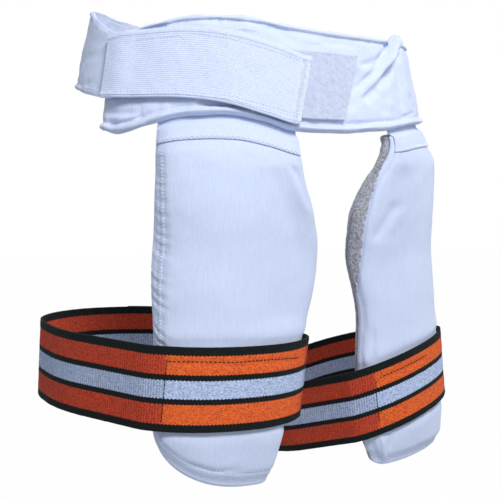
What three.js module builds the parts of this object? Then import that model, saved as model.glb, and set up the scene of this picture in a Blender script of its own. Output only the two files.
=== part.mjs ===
// A cricket thigh guard: a padded waist belt that closes with a ribbed flap on a loop patch, two padded
// thigh panels that hang from the belt, and a striped elastic strap round each thigh.
// Millimetres, +Z up. The wearer faces -Y, and their right is -X. The origin is in the middle of the waist,
// half way up the front of the belt.
import * as THREE from "three";

// How far apart two pieces lie that rest on each other.
const CLEARANCE = 0.3;

const waist = { halfWidth: 160, halfDepth: 118, leanDegrees: 12 };
const belt = { height: 85, wall: 5, foldHeight: 5, foldWidth: 15 };
const flap = { wall: 2.4, hem: 0.8, hemUp: 0.04 };
const patch = { wall: 1.6 };
const flapTape = { wall: 1.2, height: 42, fromTurn: -29, endDegrees: 3, middle: -0.165 };
const hanger = { wall: 2, tuck: 10, cover: 13, rimGap: 7, lift: 0.8 };
const pad = { wall: 16, cornerSoftness: 0.06 };
const lining = { wall: 8 };
const strap = { wall: 2.5, slack: 4, overlapDegrees: 26, roundSteps: 120, bridgeDegrees: 45 };
// Where a strap's outer end rises over its inner end, in degrees before they meet.
const strapRise = { fromDegrees: 24, toDegrees: 4 };
// How far round from a pad the strap still stands off it, and the shares down where it may lie on it.
const strapReach = { degrees: 7, downs: [0.55, 0.65, 0.75, 0.85, 0.93] };
const strapTape = { wall: 1.2, width: 45, startDegrees: 4, endDegrees: 3 };
const thigh = { halfDepth: 100, taper: 0.1 };

// Which side a leg's pieces are on, how far its thigh is from the middle and behind it and how much it goes
// outwards on its way down, how long its pad is, where on the waist the pad's edges hang in degrees from the
// front, and how its strap lies. The elastic is narrower where it is stretched more. A pad's lower corners
// are cut away upwards by a rise, over a share of its width, straight (bend 0) or in a round (bend 1).
const legs = [
  {
    name: "right",
    side: -1,
    apart: 97,
    back: 0,
    splay: 0.09,
    padLength: 287,
    outerCorner: { rise: 58, reach: 0.86, bend: 1 },
    innerCorner: { rise: 3, reach: 0.06, bend: 1 },
    outerTurn: 57,
    innerTurn: 16,
    strapWidth: 65,
    strapDrop: 250,
    strapTiltOut: 0,
    strapTiltBack: 0.05,
  },
  {
    name: "left",
    side: 1,
    apart: 108,
    back: 15,
    splay: 0.15,
    padLength: 297,
    outerCorner: { rise: 11.5, reach: 0.97, bend: 0 },
    innerCorner: { rise: 8, reach: 0.12, bend: 1 },
    outerTurn: 62,
    innerTurn: 20,
    strapWidth: 62,
    strapDrop: 267,
    strapTiltOut: 0.26,
    strapTiltBack: -0.18,
  },
];

// The belt's lower and upper edge as shares of its height, its wall and how far it is lifted off the
// waist as shares of its wall. The turn is in degrees from the front towards the wearer's left.
const BELT_RUN = [
  { turn: -78, low: -0.57, high: 0.36, wall: 0.8, lift: 0 },
  { turn: -71, low: -0.61, high: 0.38, wall: 1, lift: 0 },
  { turn: -60, low: -0.53, high: 0.44, wall: 1, lift: 0 },
  { turn: -48, low: -0.455, high: 0.495, wall: 1, lift: 0 },
  { turn: -34, low: -0.44, high: 0.5, wall: 1, lift: 0 },
  { turn: -25, low: -0.5, high: 0.48, wall: 1, lift: 0 },
  { turn: -17, low: -0.58, high: 0.44, wall: 1, lift: 0 },
  { turn: -2, low: -0.585, high: 0.41, wall: 1, lift: 0 },
  { turn: 16, low: -0.53, high: 0.41, wall: 1, lift: 0 },
  { turn: 35, low: -0.44, high: 0.44, wall: 1, lift: 0 },
  { turn: 65, low: -0.36, high: 0.475, wall: 1, lift: 0 },
  { turn: 110, low: -0.24, high: 0.56, wall: 1, lift: 0 },
  { turn: 180, low: -0.12, high: 0.67, wall: 0.9, lift: 0 },
  { turn: 232, low: -0.08, high: 0.73, wall: 0.7, lift: 0.1 },
  { turn: 258, low: -0.13, high: 0.64, wall: 0.6, lift: 0.6 },
  { turn: 274, low: -0.21, high: 0.48, wall: 0.55, lift: 1.5 },
  { turn: 287, low: -0.27, high: 0.34, wall: 0.5, lift: 1.5 },
];

// The belt's outer face from its lower to its upper edge: how far up and how thick, as shares.
const BELT_FACE = [
  { up: 0, thick: 0.4 },
  { up: 0.02, thick: 1.0 },
  { up: 0.05, thick: 1.35 },
  { up: 0.085, thick: 1.15 },
  { up: 0.115, thick: 0.75 },
  { up: 0.2, thick: 1.0 },
  { up: 0.4, thick: 1.08 },
  { up: 0.6, thick: 1.08 },
  { up: 0.8, thick: 1.0 },
  { up: 0.925, thick: 0.75 },
  { up: 0.95, thick: 1.1 },
  { up: 0.98, thick: 1.0 },
  { up: 1, thick: 0.4 },
];

// The slanting fold on the belt's front, from its lower to its upper end.
const BELT_FOLD = { lowTurn: 5, highTurn: 34, low: -0.27, high: 0.42 };

// The flap's edges as shares of the belt's height, and its inner face's lift as shares of the belt's wall.
const FLAP_RUN = [
  { turn: -76, low: -0.265, high: 0.32, lift: 2.4 },
  { turn: -70, low: -0.27, high: 0.345, lift: 2.4 },
  { turn: -64, low: -0.275, high: 0.355, lift: 1.7 },
  { turn: -48, low: -0.285, high: 0.375, lift: 1.42 },
  { turn: -35, low: -0.335, high: 0.33, lift: 1.75 },
  { turn: -22, low: -0.45, high: 0.215, lift: 1.8 },
  { turn: -13.5, low: -0.52, high: 0.12, lift: 1.8 },
];
const FLAP_END_SLANT = 5.4;

const PATCH_RUN = { fromTurn: -30, toTurn: 3, slant: 8.4, lowUp: 0.125, high: 0.185, lift: 1.12 };

// The round of a thigh: degrees from the front towards the inner side, and the radius as a share of its
// half depth.
const THIGH_ROUND = [
  { angle: -180, radius: 1.12 },
  { angle: -145, radius: 1.1 },
  { angle: -112, radius: 0.91 },
  { angle: -75, radius: 0.82 },
  { angle: -40, radius: 0.86 },
  { angle: -5, radius: 0.99 },
  { angle: 25, radius: 1.07 },
  { angle: 60, radius: 0.95 },
  { angle: 95, radius: 0.82 },
  { angle: 135, radius: 1.0 },
];

// A pad's outline from its top to its bottom: where its two edges lie round the thigh in degrees, and
// how far its front stands, as shares of its wall.
const PAD_DOWN = [
  { down: 0, outer: -34, rightInner: 30, leftInner: 30, thick: 0.4 },
  { down: 0.035, outer: -35, rightInner: 32, leftInner: 42, thick: 0.62 },
  { down: 0.1, outer: -38, rightInner: 36, leftInner: 47, thick: 1 },
  { down: 0.2, outer: -39.3, rightInner: 38, leftInner: 38, thick: 1.03 },
  { down: 0.3, outer: -40, rightInner: 38.5, leftInner: 29.5, thick: 1.04 },
  { down: 0.45, outer: -40, rightInner: 37.5, leftInner: 26, thick: 1 },
  { down: 0.55, outer: -39, rightInner: 34.5, leftInner: 25, thick: 1 },
  { down: 0.7, outer: -37, rightInner: 30, leftInner: 27.5, thick: 0.92 },
  { down: 0.85, outer: -36, rightInner: 24, leftInner: 29, thick: 0.9 },
  { down: 0.96, outer: -35, rightInner: 21.5, leftInner: 28, thick: 0.8 },
  { down: 1, outer: -35, rightInner: 20.5, leftInner: 26.5, thick: 0.4 },
];
// The pad's front across, from its outer to its inner edge.
const PAD_ACROSS = [
  { across: 0, thick: 0.4 },
  { across: 0.03, thick: 0.6 },
  { across: 0.12, thick: 0.86 },
  { across: 0.3, thick: 0.98 },
  { across: 0.5, thick: 1.04 },
  { across: 0.72, thick: 1.02 },
  { across: 0.88, thick: 0.92 },
  { across: 0.96, thick: 0.72 },
  { across: 1, thick: 0.45 },
];
// How far a pad's lining lies inside the belt at its top, and the share down at which it lies on the thigh.
const padTop = { inset: 10, blend: 0.4 };
// The lining's wall as a share, from the pad's outer to its inner edge.
const LINING_ACROSS = [
  { across: 0, thick: 0.45 },
  { across: 0.1, thick: 0.6 },
  { across: 0.8, thick: 0.7 },
  { across: 1, thick: 1 },
];

const radians = THREE.MathUtils.degToRad;
const mix = THREE.MathUtils.lerp;

// The value of one column of a table at a place in another, on a smooth curve through the rows.
function along(table, key, column, place) {
  const last = table.length - 1;
  if (place <= table[0][key]) return table[0][column];
  if (place >= table[last][key]) return table[last][column];
  let row = 0;
  while (table[row + 1][key] < place) row += 1;
  const from = table[row];
  const to = table[row + 1];
  const span = to[key] - from[key];
  const share = (place - from[key]) / span;
  const slopeAt = (n) => {
    if (n === 0 || n === last) return 0;
    const before = table[n - 1];
    const after = table[n + 1];
    return (after[column] - before[column]) / (after[key] - before[key]);
  };
  const square = share * share;
  const cube = square * share;
  return (
    (2 * cube - 3 * square + 1) * from[column] +
    (cube - 2 * square + share) * span * slopeAt(row) +
    (3 * square - 2 * cube) * to[column] +
    (cube - square) * span * slopeAt(row + 1)
  );
}

// Evenly spaced shares from 0 to 1.
const evenly = (steps) => Array.from({ length: steps + 1 }, (_, n) => n / steps);

// A closed sheet with two faces: point(a, b, face) gives a place on the inner (face 0) or outer (face 1) side.
function sheet(acrossShares, upShares, point) {
  const columns = acrossShares.length;
  const rows = upShares.length;
  const places = [];
  for (const face of [0, 1]) {
    for (const a of acrossShares) {
      for (const b of upShares) places.push(point(a, b, face));
    }
  }
  const at = (face, column, row) => (face * columns + column) * rows + row;
  const triangles = [];
  const quad = (p, q, r, s) => triangles.push([p, q, r], [p, r, s]);
  for (let c = 0; c + 1 < columns; c += 1) {
    for (let r = 0; r + 1 < rows; r += 1) {
      quad(at(1, c, r), at(1, c + 1, r), at(1, c + 1, r + 1), at(1, c, r + 1));
      quad(at(0, c, r), at(0, c, r + 1), at(0, c + 1, r + 1), at(0, c + 1, r));
    }
    quad(at(0, c, 0), at(0, c + 1, 0), at(1, c + 1, 0), at(1, c, 0));
    quad(at(1, c, rows - 1), at(1, c + 1, rows - 1), at(0, c + 1, rows - 1), at(0, c, rows - 1));
  }
  for (let r = 0; r + 1 < rows; r += 1) {
    quad(at(1, 0, r), at(1, 0, r + 1), at(0, 0, r + 1), at(0, 0, r));
    quad(at(0, columns - 1, r), at(0, columns - 1, r + 1), at(1, columns - 1, r + 1), at(1, columns - 1, r));
  }
  return faceOutward(places, triangles);
}

// A geometry of these triangles, turned so that the closed body's volume is positive.
function faceOutward(places, triangles) {
  const volume = triangles.reduce(
    (sum, [p, q, r]) => sum + places[p].dot(places[q].clone().cross(places[r])),
    0,
  );
  const turned = volume < 0 ? triangles.map(([p, q, r]) => [p, r, q]) : triangles;
  const geometry = new THREE.BufferGeometry();
  geometry.setAttribute(
    "position",
    new THREE.Float32BufferAttribute(places.flatMap((place) => place.toArray()), 3),
  );
  geometry.setIndex(turned.flat());
  geometry.computeVertexNormals();
  return geometry;
}

// A place on the waist's round, at a turn in degrees, a height and a distance out from it.
function onWaist(turn, height, out) {
  const grow = out - height * Math.tan(radians(waist.leanDegrees));
  const angle = radians(turn);
  return new THREE.Vector3(
    (waist.halfWidth + grow) * Math.sin(angle),
    -(waist.halfDepth + grow) * Math.cos(angle),
    height,
  );
}

// The belt's two edges at a turn.
const beltLow = (turn) => belt.height * along(BELT_RUN, "turn", "low", turn);
const beltHigh = (turn) => belt.height * along(BELT_RUN, "turn", "high", turn);

// How far the slanting fold raises the belt's face.
function beltFold(turn, height) {
  const low = BELT_FOLD.low * belt.height;
  const high = BELT_FOLD.high * belt.height;
  const share = (height - low) / (high - low);
  const ridgeTurn = mix(BELT_FOLD.lowTurn, BELT_FOLD.highTurn, share);
  const away = radians(turn - ridgeTurn) * waist.halfWidth;
  const ends = THREE.MathUtils.smoothstep(share, -0.05, 0.45);
  return belt.foldHeight * ends * Math.exp(-((away / (belt.foldWidth / 2)) ** 2));
}

// The belt's steps in degrees, finer where the slanting fold is.
const beltSteps = { fineFrom: -6, fineTo: 50, fine: 3.5, coarse: 6.5 };

function waistBelt() {
  const first = BELT_RUN[0].turn;
  const last = BELT_RUN[BELT_RUN.length - 1].turn;
  const turns = [];
  for (let turn = first; turn < last; ) {
    turns.push((turn - first) / (last - first));
    turn += turn >= beltSteps.fineFrom && turn < beltSteps.fineTo ? beltSteps.fine : beltSteps.coarse;
  }
  turns.push(1);
  const ups = BELT_FACE.map((row) => row.up);
  return sheet(turns, ups, (a, up, face) => {
    const turn = mix(first, last, a);
    const height = mix(beltLow(turn), beltHigh(turn), up);
    const wall = belt.wall * along(BELT_RUN, "turn", "wall", turn);
    const lift = belt.wall * along(BELT_RUN, "turn", "lift", turn);
    if (face === 0) return onWaist(turn, height, lift);
    const thick = wall * along(BELT_FACE, "up", "thick", up);
    return onWaist(turn, height, lift + thick + beltFold(turn, height));
  });
}

// The flap's inner face at a turn, lifted clear of what it lies on.
const flapLift = (turn) => belt.wall * along(FLAP_RUN, "turn", "lift", turn) + CLEARANCE;

function closingFlap() {
  const first = FLAP_RUN[0].turn;
  const last = FLAP_RUN[FLAP_RUN.length - 1].turn;
  const ups = [0, flap.hemUp, 0.1, 0.35, 0.65, 0.9, 1 - flap.hemUp, 1];
  return sheet(evenly(20), ups, (a, up, face) => {
    const turn = mix(first, last, a);
    const slant = FLAP_END_SLANT * a * a * (up - 0.5);
    const low = belt.height * along(FLAP_RUN, "turn", "low", turn);
    const high = belt.height * along(FLAP_RUN, "turn", "high", turn);
    const hem = up === flap.hemUp || up === 1 - flap.hemUp ? flap.hem : 0;
    return onWaist(turn + slant, mix(low, high, up), flapLift(turn) + face * (flap.wall + hem));
  });
}

function loopPatch() {
  return sheet(evenly(8), evenly(3), (a, up, face) => {
    const turn = mix(PATCH_RUN.fromTurn, PATCH_RUN.toTurn + PATCH_RUN.slant * (up - 0.5), a);
    const low = mix(beltLow(turn), beltHigh(turn), PATCH_RUN.lowUp);
    const height = mix(low, belt.height * PATCH_RUN.high, up);
    return onWaist(turn, height, belt.wall * PATCH_RUN.lift + CLEARANCE + face * patch.wall);
  });
}

function flapHookTape() {
  const last = FLAP_RUN[FLAP_RUN.length - 1].turn;
  const under = belt.wall * PATCH_RUN.lift + 2 * CLEARANCE + patch.wall;
  return sheet(evenly(4), evenly(1), (a, up, face) => {
    const turn = mix(flapTape.fromTurn, last - flapTape.endDegrees, a);
    const height = belt.height * flapTape.middle + (up - 0.5) * flapTape.height;
    return onWaist(turn, height, under + face * flapTape.wall);
  });
}

// The thigh's round: the table, closed on itself.
const ROUND_CLOSED = [
  { ...THIGH_ROUND[THIGH_ROUND.length - 1], angle: THIGH_ROUND[THIGH_ROUND.length - 1].angle - 360 },
  ...THIGH_ROUND,
  { ...THIGH_ROUND[0], angle: THIGH_ROUND[0].angle + 360 },
  { ...THIGH_ROUND[1], angle: THIGH_ROUND[1].angle + 360 },
];
const wrap = (angle) => ((((angle + 180) % 360) + 360) % 360) - 180;

// A thigh's radius at an angle in degrees and a height.
function thighRadius(leg, angle, height) {
  const size = thigh.halfDepth * (1 - thigh.taper * (-height / leg.strapDrop - 1));
  return size * along(ROUND_CLOSED, "angle", "radius", wrap(angle));
}

// A place round a thigh, at an angle in degrees, a height and a distance out from it.
function onThigh(leg, angle, height, out) {
  const radius = thighRadius(leg, angle, height) + out;
  const turned = radians(angle);
  return new THREE.Vector3(
    leg.side * (leg.apart - leg.splay * (height + leg.strapDrop) - radius * Math.sin(turned)),
    leg.back - radius * Math.cos(turned),
    height,
  );
}

// The turn on the waist that a share across a pad hangs from.
const hangTurn = (leg, across) => leg.side * mix(leg.outerTurn, leg.innerTurn, across);

// The height of the pad's upper edge at a share across.
const padUpper = (leg, across) => beltLow(hangTurn(leg, across)) - hanger.rimGap;

// How far a lower corner is cut away upwards, at a share across from its own edge.
function cornerRise(corner, across) {
  const near = Math.max(0, 1 - across / corner.reach);
  return corner.rise * mix(near, 1 - Math.sqrt(1 - near * near), corner.bend);
}

// The height of a pad at a share across and a share down, with its lower corners cut away.
function padHeight(leg, across, down) {
  const upper = padUpper(leg, across);
  const rise = cornerRise(leg.outerCorner, across) + cornerRise(leg.innerCorner, 1 - across);
  const lower = padUpper(leg, 0.5) - leg.padLength + rise;
  return mix(upper, lower, down);
}

// How far the pad's front and its back stand from the wearer, at a share across and down.
function padFront(across, down) {
  const low = along(PAD_DOWN, "down", "thick", down);
  const side = along(PAD_ACROSS, "across", "thick", across);
  return padBack(across) + pad.wall * Math.min(low, side, low * side + pad.cornerSoftness);
}
const liningWall = (across) => lining.wall * along(LINING_ACROSS, "across", "thick", across);
const padBack = (across) => liningWall(across) + 2 * CLEARANCE;

const padOuter = (down) => along(PAD_DOWN, "down", "outer", down);
const padInner = (leg, down) => along(PAD_DOWN, "down", `${leg.name}Inner`, down);

// A place on a pad: it follows the waist at its top and the thigh further down.
function onPad(leg, across, down, out) {
  const height = padHeight(leg, across, down);
  const angle = mix(padOuter(down), padInner(leg, down), across);
  const top = onWaist(hangTurn(leg, across), height, out - padTop.inset);
  const low = onThigh(leg, angle, height, out);
  return top.lerp(low, THREE.MathUtils.smoothstep(down, 0, padTop.blend));
}

const PAD_COLUMNS = PAD_ACROSS.map((row) => row.across);
const PAD_ROWS = [0, 0.02, 0.05, 0.1, 0.2, 0.3, 0.4, 0.5, 0.6, 0.7, 0.8, 0.9, 0.96, 0.985, 1];

const thighPad = (leg) =>
  sheet(PAD_COLUMNS, PAD_ROWS, (across, down, face) =>
    onPad(leg, across, down, face ? padFront(across, down) : padBack(across)),
  );

const padLining = (leg) =>
  sheet(PAD_COLUMNS, PAD_ROWS, (across, down, face) =>
    onPad(leg, across, down, face ? liningWall(across) : 0),
  );

// The band that a pad hangs by: it runs from behind the belt's lower edge, under the edge and down over
// the pad's front.
function hangerBand(leg) {
  const cover = hanger.cover / leg.padLength;
  const rows = [
    { drop: -hanger.tuck, out: -hanger.wall - 2 * CLEARANCE },
    { drop: -1, out: -hanger.wall - 2 * CLEARANCE },
    { drop: hanger.rimGap * 0.5, out: -hanger.wall },
    { down: 0, lift: 2 * CLEARANCE },
    { down: cover * 0.5, lift: hanger.lift },
    { down: cover, lift: hanger.lift },
  ];
  return sheet(PAD_COLUMNS, evenly(rows.length - 1), (across, up, face) => {
    const row = rows[Math.round(up * (rows.length - 1))];
    if ("down" in row) {
      return onPad(leg, across, row.down, padFront(across, row.down) + row.lift + face * hanger.wall);
    }
    const turn = hangTurn(leg, across);
    return onWaist(turn, beltLow(turn) - row.drop, row.out + face * hanger.wall);
  });
}

// The share across a pad that lies at an angle round the thigh.
const acrossAt = (leg, angle, down) =>
  (angle - padOuter(down)) / (padInner(leg, down) - padOuter(down));

// How far a strap lies out from the thigh at an angle: over the pad, and close to the thigh elsewhere.
function strapLift(leg, angle) {
  let most = strap.slack;
  for (let turn = -strapReach.degrees; turn <= strapReach.degrees; turn += 1) {
    for (const down of strapReach.downs) {
      const across = acrossAt(leg, wrap(angle + turn), down);
      if (across >= 0 && across <= 1) most = Math.max(most, padFront(across, down) + CLEARANCE);
    }
  }
  return most;
}

// The elastic is taut, so it runs straight over each hollow of what it goes round. This gives its radius
// at even steps round the thigh, at the strap's own height.
function tautRound(leg) {
  const step = 360 / strap.roundSteps;
  const widest = Math.round(strap.bridgeDegrees / step);
  const loose = Array.from({ length: strap.roundSteps }, (_, n) => {
    return thighRadius(leg, n * step, -leg.strapDrop) + strapLift(leg, n * step);
  });
  const at = (n) => loose[(n + strap.roundSteps) % strap.roundSteps];
  return loose.map((radius, n) => {
    let most = radius;
    for (let back = 1; back <= widest; back += 1) {
      for (let ahead = 1; ahead <= widest; ahead += 1) {
        const before = at(n - back);
        const after = at(n + ahead);
        const [a, b] = [radians(back * step), radians(ahead * step)];
        const chord = (before * after * Math.sin(a + b)) / (before * Math.sin(a) + after * Math.sin(b));
        most = Math.max(most, chord);
      }
    }
    return most;
  });
}

// How far the taut elastic lies out from the thigh at an angle.
function strapRun(leg, angle) {
  const place = (((wrap(angle) + 360) % 360) / 360) * strap.roundSteps;
  const step = Math.floor(place);
  const round = taut[leg.name];
  const radius = mix(round[step % strap.roundSteps], round[(step + 1) % strap.roundSteps], place - step);
  return radius - thighRadius(leg, angle, -leg.strapDrop);
}
const taut = Object.fromEntries(legs.map((leg) => [leg.name, tautRound(leg)]));

// Where a strap's two ends lie over each other, behind the thigh.
const strapStart = 140;
const strapEnd = strapStart + 360 + strap.overlapDegrees;

// A place on a strap: a share round it, a distance up from its middle and a distance out.
function onStrap(leg, angle, up, out) {
  const run = strapRun(leg, angle) + out;
  const flat = onThigh(leg, angle, -leg.strapDrop, run);
  const outward = leg.side * flat.x - leg.apart;
  const height = -leg.strapDrop + leg.strapTiltOut * outward + leg.strapTiltBack * (flat.y + thigh.halfDepth);
  return onThigh(leg, angle, height + up, run);
}

// How far the outer end of a strap is raised over its inner end.
function overlapLift(angle) {
  const stack = strap.wall + strapTape.wall + 3 * CLEARANCE;
  const meet = strapStart + 360;
  return stack * THREE.MathUtils.smoothstep(angle, meet - strapRise.fromDegrees, meet - strapRise.toDegrees);
}

const thighStrap = (leg) =>
  sheet(evenly(66), evenly(2), (a, up, face) => {
    const angle = mix(strapStart, strapEnd, a);
    return onStrap(leg, angle, (up - 0.5) * leg.strapWidth, overlapLift(angle) + face * strap.wall);
  });

const strapHookTape = (leg) =>
  sheet(evenly(4), evenly(1), (a, up, face) => {
    const last = strapStart + strap.overlapDegrees - strapTape.endDegrees;
    const angle = mix(strapStart + strapTape.startDegrees, last, a);
    const out = strap.wall + 1.5 * CLEARANCE + face * strapTape.wall;
    return onStrap(leg, angle, (up - 0.5) * strapTape.width, out);
  });

const cotton = new THREE.MeshStandardMaterial({ color: 0xe9ecf5, roughness: 0.9, metalness: 0 });
const ribbedElastic = new THREE.MeshStandardMaterial({ color: 0xe4e8f2, roughness: 0.85, metalness: 0 });
const loopPile = new THREE.MeshStandardMaterial({ color: 0xdfe3ee, roughness: 1, metalness: 0 });
const terry = new THREE.MeshStandardMaterial({ color: 0xb9bcc4, roughness: 1, metalness: 0 });
const stripedElastic = new THREE.MeshStandardMaterial({ color: 0xe8622a, roughness: 0.8, metalness: 0 });
const hookTape = new THREE.MeshStandardMaterial({ color: 0xe6e6e6, roughness: 0.6, metalness: 0 });

const thighGuard = new THREE.Group();

function add(name, geometry, material) {
  const mesh = new THREE.Mesh(geometry, material);
  mesh.name = name;
  thighGuard.add(mesh);
}

add("waist_belt", waistBelt(), cotton);
add("closing_flap", closingFlap(), ribbedElastic);
add("loop_patch", loopPatch(), loopPile);
add("flap_hook_tape", flapHookTape(), hookTape);
for (const leg of legs) {
  add(`${leg.name}_thigh_pad`, thighPad(leg), cotton);
  add(`${leg.name}_pad_lining`, padLining(leg), terry);
  add(`${leg.name}_pad_hanger`, hangerBand(leg), cotton);
  add(`${leg.name}_thigh_strap`, thighStrap(leg), stripedElastic);
  add(`${leg.name}_strap_tape`, strapHookTape(leg), hookTape);
}

export default thighGuard;
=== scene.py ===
"""A worn cricket thigh guard: its cloth, padding, elastic and stitching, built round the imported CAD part.

Lengths in the tables and the shape functions are millimetres, as in the part's source. Blender gets metres.
The wearer faces -Y, and their right is -X.
"""

import math
from functools import cache, partial
from types import SimpleNamespace

import bpy
import numpy as np
from bpy.props import FloatProperty, FloatVectorProperty, PointerProperty
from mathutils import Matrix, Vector
from mathutils.bvhtree import BVHTree


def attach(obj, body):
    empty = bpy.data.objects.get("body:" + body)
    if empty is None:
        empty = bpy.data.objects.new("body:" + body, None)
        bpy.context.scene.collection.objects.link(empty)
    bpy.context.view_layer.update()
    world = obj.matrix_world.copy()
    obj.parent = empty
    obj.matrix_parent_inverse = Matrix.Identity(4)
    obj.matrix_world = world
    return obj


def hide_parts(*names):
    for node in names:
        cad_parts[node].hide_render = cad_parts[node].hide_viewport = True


bl_info = {
    "name": "Cricket Thigh Guard",
    "version": (1, 0, 0),
    "blender": (4, 5, 0),
    "location": "View3D > Sidebar > Thigh Guard",
    "description": "Builds a worn cricket thigh guard round a packed CAD part",
    "category": "Add Mesh",
}

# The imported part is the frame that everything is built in.
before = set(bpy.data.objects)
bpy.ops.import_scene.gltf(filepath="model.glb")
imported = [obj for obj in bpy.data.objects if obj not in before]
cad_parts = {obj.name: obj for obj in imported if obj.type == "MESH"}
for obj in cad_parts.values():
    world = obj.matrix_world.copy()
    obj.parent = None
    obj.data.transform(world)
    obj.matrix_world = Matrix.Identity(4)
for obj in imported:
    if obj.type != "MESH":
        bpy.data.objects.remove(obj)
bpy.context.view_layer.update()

MM = 0.001

# The photograph's frame in pixels, and the camera that took it.
PHOTO_SIDE = 500
FOCAL_PIXELS = 1090
SENSOR = 36.0
CAMERA_PLACE = Vector((-0.588, -0.809, -0.110))
CAMERA_TARGET = Vector((-0.00148, 0.00108, -0.1495))

# The part's sizes, as its source has them.
CLEARANCE = 0.3
WAIST_HALF_WIDTH = 160.0
WAIST_HALF_DEPTH = 118.0
WAIST_LEAN = math.tan(math.radians(12))
BELT_HEIGHT = 85.0
BELT_WALL = 5.0
FOLD_HEIGHT = 5.0
FOLD_WIDTH = 15.0
FLAP_WALL = 2.4
FLAP_HEM = 0.8
FLAP_END_SLANT = 5.4
PATCH_WALL = 1.6
TAPE_WALL = 1.2
FLAP_TAPE_HEIGHT = 42.0
FLAP_TAPE_MIDDLE = -0.165
FLAP_TAPE_TURN = -29.0
FLAP_TAPE_END = 3.0
HANGER_WALL = 2.0
HANGER_TUCK = 10.0
HANGER_COVER = 13.0
HANGER_RIM_GAP = 7.0
HANGER_LIFT = 0.8
PAD_WALL = 16.0
PAD_CORNER_SOFTNESS = 0.06
PAD_INSET = 10.0
PAD_BLEND = 0.4
LINING_WALL = 8.0
STRAP_WALL = 2.5
STRAP_SLACK = 4.0
STRAP_START = 140.0
STRAP_OVERLAP = 26.0
STRAP_STEPS = 120
STRAP_BRIDGE = 45.0
STRAP_RISE = (24.0, 4.0)
STRAP_REACH = 7
STRAP_DOWNS = (0.55, 0.65, 0.75, 0.85, 0.93)
STRAP_TAPE_WIDTH = 45.0
STRAP_TAPE_ENDS = (4.0, 3.0)
STRAP_TAPE_GAP = 1.5 * CLEARANCE
THIGH_HALF_DEPTH = 100.0
THIGH_TAPER = 0.1

# About how long and how wide each piece is, which sets how many steps its mesh has.
BELT_SPREAD = (900, 80)
FLAP_SPREAD = (178, 52)
PATCH_SPREAD = (84, 52)
FLAP_TAPE_SPREAD = (40, 42)
PAD_SPREAD = 150
HANGER_SPREAD = 34
STRAP_SPREAD = 740
STRAP_TAPE_SPREAD = (50, 45)


class Leg:
    """One leg's side, place and lengths.

    A lower corner of its pad is cut away upwards by a rise, over a share of the width, straight (0) or in a
    round (1).
    """

    def __init__(self, name, side, place, pad_length, corners, turns, strap):
        self.name = name
        self.side = side
        self.apart, self.back, self.splay = place
        self.pad_length = pad_length
        self.outer_corner, self.inner_corner = corners
        self.outer_turn, self.inner_turn = turns
        self.strap_width, self.strap_drop, self.strap_tilt_out, self.strap_tilt_back = strap


RIGHT = Leg(
    name="right",
    side=-1,
    place=(97.0, 0.0, 0.09),
    pad_length=287.0,
    corners=((58.0, 0.86, 1.0), (3.0, 0.06, 1.0)),
    turns=(57.0, 16.0),
    strap=(65.0, 250.0, 0.0, 0.05),
)
LEFT = Leg(
    name="left",
    side=1,
    place=(108.0, 15.0, 0.15),
    pad_length=297.0,
    corners=((11.5, 0.97, 0.0), (8.0, 0.12, 1.0)),
    turns=(62.0, 20.0),
    strap=(62.0, 267.0, 0.26, -0.18),
)
LEGS = (RIGHT, LEFT)

# Turn in degrees, then the lower edge, the upper edge, the wall and the lift as shares.
BELT_RUN = np.array(
    [
        (-78, -0.57, 0.36, 0.8, 0),
        (-71, -0.61, 0.38, 1, 0),
        (-60, -0.53, 0.44, 1, 0),
        (-48, -0.455, 0.495, 1, 0),
        (-34, -0.44, 0.5, 1, 0),
        (-25, -0.5, 0.48, 1, 0),
        (-17, -0.58, 0.44, 1, 0),
        (-2, -0.585, 0.41, 1, 0),
        (16, -0.53, 0.41, 1, 0),
        (35, -0.44, 0.44, 1, 0),
        (65, -0.36, 0.475, 1, 0),
        (110, -0.24, 0.56, 1, 0),
        (180, -0.12, 0.67, 0.9, 0),
        (232, -0.08, 0.73, 0.7, 0.1),
        (258, -0.13, 0.64, 0.6, 0.6),
        (274, -0.21, 0.48, 0.55, 1.5),
        (287, -0.27, 0.34, 0.5, 1.5),
    ]
)
LOW, HIGH, WALL, LIFT = 1, 2, 3, 4

# The belt's outer face: the share of its height, and the share of its wall.
BELT_FACE = np.array(
    [
        (0, 0.55),
        (0.012, 1.0),
        (0.035, 1.42),
        (0.06, 1.3),
        (0.078, 0.82),
        (0.09, 0.74),
        (0.13, 0.92),
        (0.22, 1.02),
        (0.4, 1.08),
        (0.6, 1.08),
        (0.8, 1.02),
        (0.9, 0.92),
        (0.935, 0.72),
        (0.945, 0.66),
        (0.955, 0.95),
        (0.97, 1.16),
        (0.99, 1.0),
        (1, 0.6),
    ]
)

# The belt's back end lies over its front end between these turns, and has no hems.
BELT_BACK_END = (262, 272)

# The slanting fold on the belt's front: the turn and the height, at its lower and its upper end.
FOLD_LOW = (5, -0.27)
FOLD_HIGH = (34, 0.42)
# The shares up the fold over which it grows, and its crest as shares of its height and its width.
FOLD_GROWS = (-0.05, 0.45)
FOLD_CREST = (1.25, 0.36)
# The pressed line on each side of the fold: its distance, its depth and its width.
FOLD_PRESSED = ((12.5, 4.4, 5.5), (-12.0, 3.8, 5.0))

# Turn, then the flap's lower edge, its upper edge and its lift as shares.
FLAP_RUN = np.array(
    [
        (-76, -0.265, 0.32, 2.4),
        (-70, -0.27, 0.345, 2.4),
        (-64, -0.275, 0.355, 1.7),
        (-48, -0.285, 0.375, 1.42),
        (-35, -0.335, 0.33, 1.75),
        (-22, -0.45, 0.215, 1.8),
        (-13.5, -0.52, 0.12, 1.8),
    ]
)
FLAP_LIFT = 3
# The flap's two hems as shares of its height, and the second layer at its free end, from this share along.
FLAP_HEM_UP = 0.045
FLAP_HEM_WIDTH = 0.03
FLAP_DOUBLED = 0.5
FLAP_DOUBLED_FROM = (0.948, 0.954)

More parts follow.
